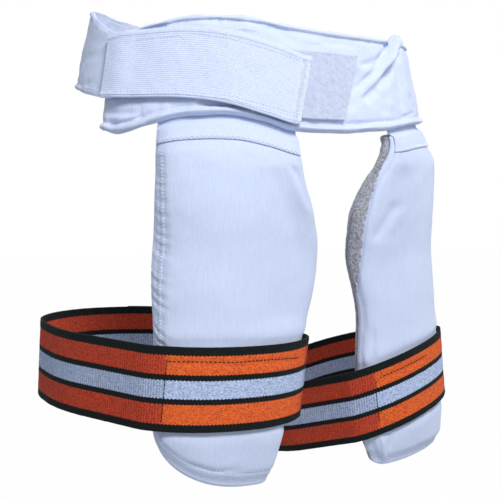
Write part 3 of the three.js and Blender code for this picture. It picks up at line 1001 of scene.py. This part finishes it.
def striped_material(name, colours, width, sewn):
    """Striped knitted elastic: plush between the two places where it is sewn, and taut beyond them, where its
    orange and silver are darker, partly as the stretched knit's own colour and partly as painted shade.
    """
    s = material_shader(name)
    across, up = s.uv()
    teeth = s.math("MULTIPLY", s.math("PINGPONG", across, 1.5), 0.55)
    share = s.math("DIVIDE", s.math("ADD", up, s.math("SUBTRACT", teeth, 0.4)), width)
    begun = s.remap(across, sewn[0] - SEWN_FADE, sewn[0] + SEWN_FADE)
    going = s.remap(across, sewn[1] + SEWN_FADE, sewn[1] - SEWN_FADE)
    plush = s.math("MULTIPLY", begun, going)
    knit = s.noise(s.stretched(0.75, 1.35), 1.5, 3.0, 0.75)
    fleck = s.noise(s.stretched(0.8, 1.2), 0.8, 2.0, 0.8)
    shade = s.weigh((knit, 0.6), (fleck, 0.4))
    rib = s.wave(across, 2.3)
    light = s.remap(shade, 0.37, 0.6)
    # The taut part's ribs are painted slightly lighter on their crests and darker between them, as painted
    # shade.
    taut_light = s.remap(s.weigh((shade, 1.0), (rib, 0.05)), 0.36, 0.64)

    def yarn(plush_dark, plush_bright, taut_shaded_dark, taut_shaded_bright):
        """One stripe's colour where it is taut, darker there partly as painted shade, and where it is plush.
        """
        stretched = s.blend(taut_light, taut_shaded_dark, taut_shaded_bright)
        return s.blend(plush, stretched, s.blend(light, plush_dark, plush_bright))

    # Beyond the sewn places the orange and silver are darker: partly the stretched knit's own colour, partly
    # painted shade on the strap's sides round the thigh.
    taut, grey = colours.taut_orange, colours.silver
    orange = yarn(tint(taut, 0.75), tint(colours.orange, 1.15), tint(taut, 0.42), tint(taut, 1.1))
    silver = yarn(tint(grey, 0.5), tint(grey, 1.15), tint(grey, 0.4), tint(grey, 1.0))
    black = s.blend(light, tint(colours.black, 0.6), tint(colours.black, 2.0))
    base = black
    for edge, stripe in zip(STRIPE_SHARES, (orange, black, silver, black, orange, black)):
        base = s.blend(s.remap(share, edge - STRIPE_EDGE, edge + STRIPE_EDGE), base, stripe)
    return s.finish(base, s.weigh((shade, 2.0), (rib, 0.12)), 0.4, 0.9)


def tape_material(colour):
    """Hook tape: rows of stiff little hooks on a flat band."""
    s = material_shader("thigh_guard_hook_tape")
    grain = s.noise(s.place(), 2.5)
    base = s.mottle(grain, (0.35, 0.65), colour, 0.85, 1.05)
    return s.finish(base, s.cells(1.2), 0.5, s.remap(grain, 0.3, 0.7, 0.4, 0.55))


def thread_material(name, colour):
    """Sewing thread, slightly uneven in colour and gloss."""
    s = material_shader(name)
    grain = s.noise(s.place(), 0.8, 2.0)
    base = s.mottle(grain, (0.35, 0.65), colour, 0.86, 1.06)
    return s.finish(base, grain, 0.15, s.remap(grain, 0.3, 0.7, 0.6, 0.8))


def hue_setting(name, description, *default):
    """A property for a colour."""
    return FloatVectorProperty(name=name, description=description, subtype="COLOR", default=default)


def length_setting(name, description, default, least, most):
    """A property for a length, which is given here in millimetres."""
    return FloatProperty(
        name=name,
        description=description,
        subtype="DISTANCE",
        unit="LENGTH",
        precision=5,
        default=default * MM,
        min=least * MM,
        max=most * MM,
    )


class ThighGuardColours(bpy.types.PropertyGroup):
    """The colours of the cloth, the elastic and the threads."""

    cotton: hue_setting("Cotton", "The woven cloth of the belt, the pads and their bands", 0.63, 0.71, 0.93)
    elastic: hue_setting("Ribbed elastic", "The closing flap", 0.63, 0.7, 0.92)
    pile: hue_setting("Loop pile", "The fuzzy patch that the flap fastens to", 0.53, 0.585, 0.76)
    terry: hue_setting("Terry", "The towelling inside the pads", 0.36, 0.37, 0.42)
    orange: hue_setting("Orange", "The straps' orange where it is sewn", 0.8, 0.145, 0.024)
    # Darker than the sewn orange, partly for the stretched knit and partly as painted shade on the straps'
    # sides.
    taut_orange: hue_setting("Taut orange", "The straps' orange where it is stretched", 0.6, 0.065, 0.028)
    silver: hue_setting("Silver", "The straps' middle stripe", 0.5, 0.6, 0.85)
    black: hue_setting("Black", "The straps' edges, thin stripes and thread", 0.003, 0.005, 0.005)
    tape: hue_setting("Hook tape", "The hidden hook tapes", 0.7, 0.7, 0.72)
    thread: hue_setting("White thread", "Stitches on the belt and the flap's end", 0.8, 0.83, 0.9)
    shaded_thread: hue_setting("Grey thread", "The other stitches on white cloth", 0.5, 0.55, 0.68)


class ThighGuardSizes(bpy.types.PropertyGroup):
    """The sizes that only the looks have."""

    step: length_setting("Mesh step", "How far apart the points of the fine meshes are", 2.0, 1.0, 6.0)
    wrinkle: length_setting("Wrinkle height", "How high the cloth's broad lumps are", 0.5, 0.0, 2.0)
    bulge: length_setting("Bulge beside a strap", "How far a pad swells beside its strap", 1.3, 0.0, 4.0)
    thread: length_setting("Thread radius", "The radius of the belt's thread", 0.3, 0.1, 0.6)


def settings(context):
    """The scene's colours, and its sizes in millimetres, rid of what Blender's short numbers add."""
    group = context.scene.thigh_guard_sizes
    sizes = {name: round(getattr(group, name) / MM, 4) for name in ThighGuardSizes.__annotations__}
    return context.scene.thigh_guard_colours, SimpleNamespace(**sizes)


def put_on(obj, slot, material, *nodes):
    """Gives a piece its material, and lets it ride on the body and stand for CAD nodes. The slot is not used.
    """
    if not obj.data.materials:
        obj.data.materials.append(material)
    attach(obj, "root")
    if nodes:
        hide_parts(*nodes)
    return obj


def add_cloth(name, node, slot, material, grid, place, **options):
    """A piece of cloth that stands for a CAD node."""
    cloth = Cloth(name, grid, place, **options)
    put_on(cloth.object, slot, material, node)
    return cloth


def sew(name, runs, radius, slot, thread):
    """A piece of stitching on the cloth it is on, with its thread's material."""
    return put_on(threads(name, runs, radius, thread), slot, thread)


def pucker(shares, length, distance, reach, seed):
    """Small gathers across a hem: places along it, and the distance from it."""
    lumps = ripple(np.stack([shares * length, 0 * shares, 0 * shares], -1), 3.6, seed)
    return lumps * hump(distance, reach)


# Each crease is a line in the photograph's pixels, its width in pixels and its height in millimetres.
BELT_CREASES = (
    ([(104, 112), (120, 113), (138, 112)], 2.2, -1.4),
    ([(104, 118), (122, 119), (140, 117)], 2.5, 0.9),
    ([(114, 131), (128, 127), (150, 121)], 2.0, 1.3),
    ([(106, 126), (126, 122), (150, 116)], 2.0, -1.0),
    ([(132, 36), (146, 30), (170, 24)], 2.5, -1.0),
    ([(262, 24), (284, 33), (300, 46)], 4.0, -1.2),
    ([(318, 40), (340, 44), (362, 46)], 4.0, -1.0),
    ([(396, 50), (380, 66), (362, 76)], 3.0, 1.8),
    ([(388, 52), (372, 62), (358, 66)], 3.0, -2.2),
    ([(360, 66), (355, 88), (351, 114)], 5.0, -3.6),
    ([(392, 64), (376, 82), (362, 106)], 5.0, -4.6),
    ([(366, 96), (362, 108), (358, 120)], 3.2, 1.4),
    ([(392, 52), (398, 70), (402, 96), (405, 116)], 2.4, -2.6),
    ([(398, 54), (404, 78), (410, 104)], 2.0, 1.8),
    ([(386, 72), (390, 92), (393, 114)], 3.0, 1.6),
    ([(378, 86), (383, 100), (387, 118)], 3.0, -2.0),
    ([(408, 92), (412, 104), (417, 114)], 1.6, -1.6),
    ([(402, 118), (410, 114), (418, 112)], 1.8, -1.4),
    ([(302, 122), (330, 126), (360, 124), (392, 120)], 2.2, -1.1),
    ([(232, 109), (262, 113), (290, 121)], 2.5, -1.0),
)
# The shares up the belt at which its two rows of stitches run.
BELT_STITCHES = (0.086, 0.94)


def belt_relief(sizes, share, up, points, normals):
    """The belt's broad lumps, the gathers at its hems, its slanting fold and its front's creases."""
    turn = mix(BELT_RUN[0, 0], BELT_RUN[-1, 0], share)
    raised = sizes.wrinkle * (0.9 * ripple(points, scale=20, seed=3) + 0.45 * ripple(points, scale=8, seed=4))
    raised += 0.5 * pucker(share, BELT_SPREAD[0], up - 0.11, reach=0.07, seed=5)
    raised += 0.4 * pucker(share, BELT_SPREAD[0], up - 0.93, reach=0.06, seed=6)
    for line, width, height in BELT_CREASES:
        raised += crease(points, normals, line, width, height)
    raised += belt_fold(turn, points[:, 2])
    patch_across = ease(-36, -32, turn) * ease(10, 7, turn)
    patch_up = ease(0.05, 0.09, up) * ease(0.86, 0.8, up)
    return np.where(patch_across * patch_up > 0.02, np.minimum(raised, PATCH_SEAT), raised)


def belt_give(share, up):
    """How far the belt's back follows the relief of its front: not where the pads' bands hang behind it."""
    return ease(0.26, 0.38, up)


class THIGHGUARD_OT_belt(bpy.types.Operator):
    """Builds the padded waist belt with its rolled hems and its rows of stitches"""

    bl_idname = "thigh_guard.add_belt"
    bl_label = "Add Waist Belt"

    def execute(self, context):
        colours, sizes = settings(context)
        cotton = cotton_material(colours.cotton)
        around, up = BELT_SPREAD
        grid = (spread(around, sizes.step, edge=6), spread(up, sizes.step * 0.7, edge=12, fine=0.6))
        options = {"relief": partial(belt_relief, sizes), "both": belt_give}
        belt = add_cloth("waist_belt_cloth", "waist_belt", "cotton", cotton, grid, belt_place, **options)
        thread = thread_material("thigh_guard_thread", colours.thread)
        runs = []
        for height in BELT_STITCHES:
            runs += dashes(belt.line([0.004, 0.996], [height, height]))
        sew("belt_stitching", runs, sizes.thread, "cotton", thread)
        return {"FINISHED"}


# The flap's rows of stitches, in the photograph's pixels.
FLAP_ROWS = (
    [(125, 41.6), (150, 38.5), (180, 36), (184, 39), (186, 45)],
    [(113, 91.6), (180, 90.7), (230, 96), (299, 114.5)],
    [(113, 94.2), (180, 93.6), (230, 99), (299, 117.8)],
    [(190, 33), (230, 38.5), (270, 50), (303, 62)],
)


# The length that the gathers along the flap's hem are counted on.
FLAP_PUCKER_LENGTH = 175


def flap_relief(share, up, points, normals):
    """The flap's slight lumps, and the gathers along its lower hem."""
    raised = 0.35 * ripple(points, scale=24, seed=11) + 0.12 * ripple(points, scale=7, seed=12)
    return raised + 0.2 * pucker(share, FLAP_PUCKER_LENGTH, up - 0.06, reach=0.05, seed=13)


def flap_give(share, up):
    """The flap's back follows the relief of its front all over."""
    return np.ones(len(share))


def patch_relief(share, up, points, normals):
    """The patch's fuzz."""
    return 0.13 * ripple(points, scale=1.5, seed=21, waves=24) + 0.12 * ripple(points, scale=3.4, seed=22)


class THIGHGUARD_OT_flap(bpy.types.Operator):
    """Builds the ribbed closing flap, the loop patch it fastens to and the hidden hook tape"""

    bl_idname = "thigh_guard.add_flap"
    bl_label = "Add Closing Flap"

    def execute(self, context):
        colours, sizes = settings(context)
        slot = "ribbed_elastic"
        elastic = ribbed_material(colours.elastic)
        around, up = FLAP_SPREAD
        grid = (
            spread(around, sizes.step * 0.6, edge=5, fine=0.5),
            spread(up, sizes.step * 0.45, edge=5, fine=0.4),
        )
        options = {"relief": flap_relief, "both": flap_give}
        flap = add_cloth("closing_flap_cloth", "closing_flap", slot, elastic, grid, flap_place, **options)
        grey = thread_material("thigh_guard_shaded_thread", colours.shaded_thread)
        runs = []
        for row in FLAP_ROWS:
            runs += dashes(flap.seen(row), length=2.0, gap=0.8)
        end = zigzag(flap, flap.line([0.974, 0.974], [0.03, 0.97]), width=5.4, pitch=2.2)
        stitches = sew("flap_stitching", runs, sizes.thread * 0.7, slot, grey)
        white = thread_material("thigh_guard_thread", colours.thread)
        end_seam = sew("flap_end_seam", end, sizes.thread * 0.7, slot, white)
        flap.cut

        pile = pile_material(colours.pile)
        grid = [spread(side, 0.8, edge=4) for side in PATCH_SPREAD]
        options = {"relief": patch_relief}
        patch = add_cloth("loop_patch_pile", "loop_patch", "loop_pile", pile, grid, patch_place, **options)
        patch.cut
        hooks = tape_material(colours.tape)
        grid = [spread(side, 2, edge=3) for side in FLAP_TAPE_SPREAD]
        tape = add_cloth("flap_hook_tape_band", "flap_hook_tape", "hook_tape", hooks, grid, flap_tape_place)
        tape.cut
        return {"FINISHED"}


# Each pad's creases, in the same measures as the belt's.
PAD_CREASES = {
    "right": (
        ([(290, 158), (301, 182), (308, 212)], 3.5, -1.7),
        ([(284, 162), (294, 186), (302, 216)], 4.0, 0.7),
        ([(160, 158), (166, 186), (168, 216)], 5.0, 0.5),
        ([(170, 150), (190, 156), (214, 154)], 4.0, -0.5),
        ([(236, 154), (262, 160), (288, 158)], 4.0, -0.5),
        ([(300, 230), (302, 270), (300, 320)], 6.0, -0.8),
        ([(180, 462), (214, 472), (252, 470)], 2.5, -1.0),
    ),
    "left": (
        ([(399, 148), (392, 154), (385, 160)], 2.5, -1.8),
        ([(400, 200), (391, 213), (383, 227), (370, 244)], 6.0, -2.0),
        ([(404, 206), (396, 220), (388, 236)], 5.0, 0.8),
        ([(384, 152), (373, 189), (365, 221), (361, 255), (356, 290), (354, 330)], 2.0, -1.6),
        ([(389, 158), (378, 192), (370, 226), (366, 262)], 4.0, 0.9),
        ([(366, 326), (364, 350), (368, 371)], 2.6, 1.0),
        ([(374, 326), (373, 350), (376, 366)], 2.6, -0.9),
        ([(414, 140), (418, 160), (420, 184)], 3.5, -0.8),
        ([(380, 430), (383, 446), (385, 464)], 2.2, 1.6),
        ([(371, 436), (373, 448), (379, 462)], 3.5, -2.0),
        ([(388, 430), (390, 440), (389, 450)], 2.2, -1.2),
    ),
}

# How wide the finely divided edges of a pad are, in millimetres.
PAD_FINE = {"right": 10, "left": 26}
# How far the inner shoulder of a pad swells, and how deep the hollow beside it is.
PAD_SHOULDER = {"right": (3.4, 1.0), "left": (0.8, 0.3)}
# The share across a pad where its outer edge is overlocked, and how far on the row of stitches beside it is.
OVERLOCK = 0.05
OVERLOCK_ROW = 0.022
# The share down the right pad at which its bottom is stitched.
BOTTOM_ROW = 0.965
# The seam where the lining ends that is turned over the left pad's inner edge, in the photograph's pixels.
TERRY_SEAM = ((386, 146), (384, 161), (373, 189), (365, 221), (361, 255), (358, 276), (355, 300), (350, 318))


def pad_relief(leg, sizes, across, down, points, normals):
    """A pad's lumps, the bulge above and below its strap, its creases and the welts of its seams."""
    lumps = 1.2 * ripple(points, scale=38, seed=31 + leg.side) + 0.3 * ripple(points, scale=11, seed=33)
    raised = sizes.wrinkle * lumps
    beyond = np.abs(points[:, 2] - strap_middle(leg, points)) - leg.strap_width / 2
    raised *= ease(-2, 6, beyond)
    raised += sizes.bulge * hump(beyond - 9, 9) * ease(1, 7, beyond) * ease(0, 0.12, across)
    for line, width, height in PAD_CREASES[leg.name]:
        mask = np.where(height > 0, ease(0.5, 3, beyond), 1)
        raised += crease(points, normals, line, width, height) * mask
    raised += 0.5 * pucker(down, leg.pad_length, across - OVERLOCK, reach=0.05, seed=37)
    raised -= 0.9 * hump(across - OVERLOCK - OVERLOCK_ROW, 0.012)
    shoulder = ease(0.06, 0.2, down) * ease(0.6, 0.42, down)
    swell, hollow = PAD_SHOULDER[leg.name]
    raised += swell * hump(across - 0.9, 0.1) * shoulder
    raised -= hollow * hump(across - 0.74, 0.05) * shoulder
    if leg is RIGHT:
        raised -= 0.8 * hump(down - BOTTOM_ROW, 0.006) * ease(0.02, 0.06, across)
    return raised * ease(0.05, 0.1, down)


def lining_relief(across, down, points, normals):
    """The terry's loops, and broader lumps."""
    return 0.35 * ripple(points, scale=2.6, seed=41, waves=20) + 0.3 * ripple(points, scale=9, seed=42)


def terry_edge(middles, across):
    """Whether places on the left pad are under the part of the lining that is turned over its edge."""
    pixels = photo_pixels(middles)
    x, y = np.array(TERRY_SEAM, float).T
    seam = np.interp(pixels[:, 1], y, x) + 0.6 * ripple(middles, scale=2.2, seed=43)
    return (across > 0.7) & (pixels[:, 0] < seam) & (pixels[:, 1] > y[0]) & (pixels[:, 1] < y[-1])


class THIGHGUARD_OT_pads(bpy.types.Operator):
    """Builds both thigh pads, their terry linings and the bands they hang by"""

    bl_idname = "thigh_guard.add_pads"
    bl_label = "Add Thigh Pads"

    def execute(self, context):
        colours, sizes = settings(context)
        cotton = cotton_material(colours.cotton)
        terry = terry_material(colours.terry)
        white = thread_material("thigh_guard_thread", colours.thread)
        grey = thread_material("thigh_guard_shaded_thread", colours.shaded_thread)
        for leg in LEGS:
            name = leg.name
            across = spread(PAD_SPREAD, sizes.step, edge=PAD_FINE[name])
            grid = (across, spread(leg.pad_length, sizes.step, edge=10))
            options = {"relief": partial(pad_relief, leg, sizes), "rim": 7}
            place = partial(pad_place, leg)
            node = f"{name}_thigh_pad"
            pad = add_cloth(f"{name}_thigh_pad_cloth", node, "cotton", cotton, grid, place, **options)
            if leg is LEFT:
                pad.object.data.materials.append(terry)
                pad.mark(1, terry_edge)

            options = {"lining_relief": lining_relief, "rim": 5}
            place = partial(lining_place, leg)
            node = f"{name}_pad_lining"
            lining = add_cloth(f"{name}_pad_lining_terry", node, "terry", terry, grid, place, **options)

            grid = (across, spread(HANGER_SPREAD, 1.0, edge=3, fine=0.5))
            place = partial(hanger_place, leg)
            hanger = add_cloth(f"{name}_pad_hanger_band", f"{name}_pad_hanger", "cotton", cotton, grid, place)
            seam = zigzag(hanger, hanger.line([0.01, 0.99], [0.95, 0.95]), width=2.8, pitch=4.0)
            thread = grey if leg is RIGHT else white
            sewn = sew(f"{name}_hanger_seam", seam, sizes.thread * 0.9, "cotton", thread)
            hanger.cut

            runs = zigzag(pad, pad.line([OVERLOCK, OVERLOCK], [0.07, 0.9]), width=4.6, pitch=2.8)
            runs += dashes(pad.line([OVERLOCK + OVERLOCK_ROW] * 2, [0.07, 0.9]), length=2.0, gap=0.8)
            if leg is RIGHT:
                runs += dashes(pad.line([0.05, 0.5, 0.95], [BOTTOM_ROW] * 3))
            sew(f"{name}_pad_seam", runs, sizes.thread * 0.8, "cotton", grey)
        return {"FINISHED"}


# Where the photograph shows each strap's seam and its row of stitches, in pixels, and where along the strap
# it is sewn down, in millimetres from the seam.
STRAP_SEAMS = {
    "right": [(167, 359), (164, 392), (161, 423)],
    "left": [(375.6, 381), (377, 402), (379.5, 423)],
}
STRAP_ROWS = {
    "right": [(168, 361.5), (234, 362.5), (300, 357.5)],
    "left": [(379.5, 378), (404, 367), (427, 355)],
}
STRAP_SEWN = {"right": (0, 136), "left": (-104, 0)}


def strap_relief(leg, share, up, points, normals):
    """The elastic's knit, its slight waves, and the grooves of its seam and beside its row of stitches."""
    raised = 0.12 * ripple(points, scale=4, seed=51) + 0.1 * ripple(points, scale=1.8, seed=52, waves=20)
    raised += 0.1 * ripple(points, scale=26, seed=53)
    row = np.array(STRAP_ROWS[leg.name])
    raised += crease(points, normals, row + (0, 3.2), width=1.7, height=-0.7, taper=0.04)
    raised += crease(points, normals, row + (0, -0.4), width=1.3, height=-0.4, taper=0.04)
    return raised + crease(points, normals, STRAP_SEAMS[leg.name], width=1.4, height=-0.5, taper=0.02)


def span_beside(cloth, point, count=800):
    """How far along a cloth its middle line passes closest to a point."""
    shares = np.linspace(0, 1, count)
    middle = cloth.place(shares, np.full(count, 0.5), 1)
    nearest = shares[np.argmin(np.linalg.norm(middle - point, axis=1))]
    return np.interp(nearest, cloth.across, cloth.span)


class THIGHGUARD_OT_straps(bpy.types.Operator):
    """Builds the striped elastic round each thigh, its seam and the hook tape behind it"""

    bl_idname = "thigh_guard.add_straps"
    bl_label = "Add Thigh Straps"

    def execute(self, context):
        colours, sizes = settings(context)
        slot = "striped_elastic"
        thread = thread_material("thigh_guard_black_thread", colours.black)
        hooks = tape_material(colours.tape)
        for leg in LEGS:
            name = leg.name
            up = spread(leg.strap_width, sizes.step * 0.55, edge=3, fine=0.5)
            grid = (spread(STRAP_SPREAD, sizes.step, edge=4), up)
            options = {"relief": partial(strap_relief, leg), "rim": 2, "swell": 0.2}
            strap = Cloth(f"{name}_thigh_strap_elastic", grid, partial(strap_place, leg), **options)
            seam = strap.seen(STRAP_SEAMS[name])
            start = span_beside(strap, seam[0][len(seam[0]) // 2])
            sewn_run = [start + step for step in STRAP_SEWN[name]]
            elastic = striped_material(f"thigh_guard_{name}_elastic", colours, leg.strap_width, sewn_run)
            put_on(strap.object, slot, elastic, f"{name}_thigh_strap")
            runs = dashes(seam, length=2.8, gap=0.3, lift=0.2)
            runs += dashes(strap.seen(STRAP_ROWS[name]), length=2.5, gap=1.0)
            sewn = sew(f"{name}_strap_stitching", runs, sizes.thread * 1.4, slot, thread)
            strap.cut

            grid = [spread(side, 2, edge=3) for side in STRAP_TAPE_SPREAD]
            place = partial(strap_tape_place, leg)
            band = add_cloth(f"{name}_strap_tape_band", f"{name}_strap_tape", "hook_tape", hooks, grid, place)
            band.cut
        return {"FINISHED"}


FLOOR_HALF = 12.0
FLOOR_HEIGHT = -0.75
FLOOR_COLOUR = (0.6, 0.61, 0.63, 1)
# How much of what the camera sees of the floor is plain white, and not its lit shade.
FLOOR_WHITE = 0.985
SKY_COLOUR = (0.88, 0.94, 1.0, 1)
SKY_STRENGTH = 0.43
WHITE = (1, 1, 1, 1)
# A light's name, its place, the side of its square in metres, its power in watts and its colour.
LIGHTS = (
    ("key_light", (-0.36, -1.21, 0.95), 0.5, 22.0, (1.0, 0.99, 0.98)),
    ("right_light", (1.9, -0.2, 0.9), 0.7, 13.0, (1.0, 1.0, 1.0)),
    ("back_light", (-0.4, 2.2, 1.4), 1.5, 16.0, (0.95, 0.98, 1.0)),
)
LIGHT_TARGET = Vector((0.0, 0.0, -0.12))


def stand(name, data, place, target):
    """A light or a camera at a place, turned towards a target."""
    made = bpy.data.objects.new(name, data)
    bpy.context.scene.collection.objects.link(made)
    made.location = place
    made.rotation_euler = (target - Vector(place)).to_track_quat("-Z", "Y").to_euler()
    return made


class THIGHGUARD_OT_stage(bpy.types.Operator):
    """Adds the pale floor, the soft studio lights and the photograph's camera"""

    bl_idname = "thigh_guard.add_stage"
    bl_label = "Add Stage"

    def execute(self, context):
        scene = context.scene
        square = np.array([(-1, -1, 0), (1, -1, 0), (1, 1, 0), (-1, 1, 0)])
        floor = mesh_object("floor", FLOOR_HALF * square + (0, 0, FLOOR_HEIGHT), np.array([[0, 1, 2, 3]]))
        s = material_shader("studio_floor")
        lit = s.node("BsdfDiffuse", {"Color": FLOOR_COLOUR})
        glow = s.node("Emission", {"Color": WHITE, "Strength": 1.0})
        seen = s.math("MULTIPLY", s.node("LightPath").outputs["Is Camera Ray"], FLOOR_WHITE)
        mixed = s.node("MixShader", {0: seen, 1: lit.outputs[0], 2: glow.outputs[0]})
        s.node("OutputMaterial", {"Surface": mixed.outputs[0]})
        floor.data.materials.append(s.owner)

        scene.world = scene.world or bpy.data.worlds.new("studio_world")
        s = Shader(scene.world)
        soft = s.node("Background", {"Color": SKY_COLOUR, "Strength": SKY_STRENGTH})
        white = s.node("Background", {"Color": WHITE})
        seen = s.node("LightPath").outputs["Is Camera Ray"]
        mixed = s.node("MixShader", {0: seen, 1: soft.outputs[0], 2: white.outputs[0]})
        s.node("OutputWorld", {"Surface": mixed.outputs[0]})

        for name, place, size, power, shade in LIGHTS:
            light = bpy.data.lights.new(name, "AREA")
            light.size = size
            light.energy = power
            light.color = shade
            stand(name, light, place, LIGHT_TARGET)

        camera = bpy.data.cameras.new("photo_camera")
        camera.sensor_width = SENSOR
        camera.lens = FOCAL_PIXELS / PHOTO_SIDE * SENSOR
        camera.clip_start = 0.05
        camera.clip_end = 60.0
        scene.camera = stand("photo_camera", camera, CAMERA_PLACE, CAMERA_TARGET)
        scene.view_settings.view_transform = "Standard"
        scene.view_settings.look = "None"
        return {"FINISHED"}


class THIGHGUARD_PT_panel(bpy.types.Panel):
    """The sidebar panel with the sizes, the colours and the build buttons"""

    bl_label = "Thigh Guard"
    bl_idname = "THIGHGUARD_PT_panel"
    bl_space_type = "VIEW_3D"
    bl_region_type = "UI"
    bl_category = "Thigh Guard"

    def draw(self, context):
        for group in (context.scene.thigh_guard_sizes, context.scene.thigh_guard_colours):
            column = self.layout.column(align=True)
            for name in type(group).__annotations__:
                column.prop(group, name)
        for operator in OPERATORS:
            self.layout.operator(operator.bl_idname)


OPERATORS = (
    THIGHGUARD_OT_belt,
    THIGHGUARD_OT_flap,
    THIGHGUARD_OT_pads,
    THIGHGUARD_OT_straps,
    THIGHGUARD_OT_stage,
)
CLASSES = (ThighGuardSizes, ThighGuardColours, *OPERATORS, THIGHGUARD_PT_panel)


def register():
    """Adds the classes and the scene's properties to Blender."""
    for cls in CLASSES:
        bpy.utils.register_class(cls)
    bpy.types.Scene.thigh_guard_sizes = PointerProperty(type=ThighGuardSizes)
    bpy.types.Scene.thigh_guard_colours = PointerProperty(type=ThighGuardColours)


def unregister():
    """Takes them out again."""
    del bpy.types.Scene.thigh_guard_colours
    del bpy.types.Scene.thigh_guard_sizes
    for cls in reversed(CLASSES):
        bpy.utils.unregister_class(cls)


def main():
    """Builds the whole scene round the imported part."""
    register()
    bpy.ops.thigh_guard.add_belt()
    bpy.ops.thigh_guard.add_flap()
    bpy.ops.thigh_guard.add_pads()
    bpy.ops.thigh_guard.add_straps()
    bpy.ops.thigh_guard.add_stage()


if __name__ == "__main__":
    main()
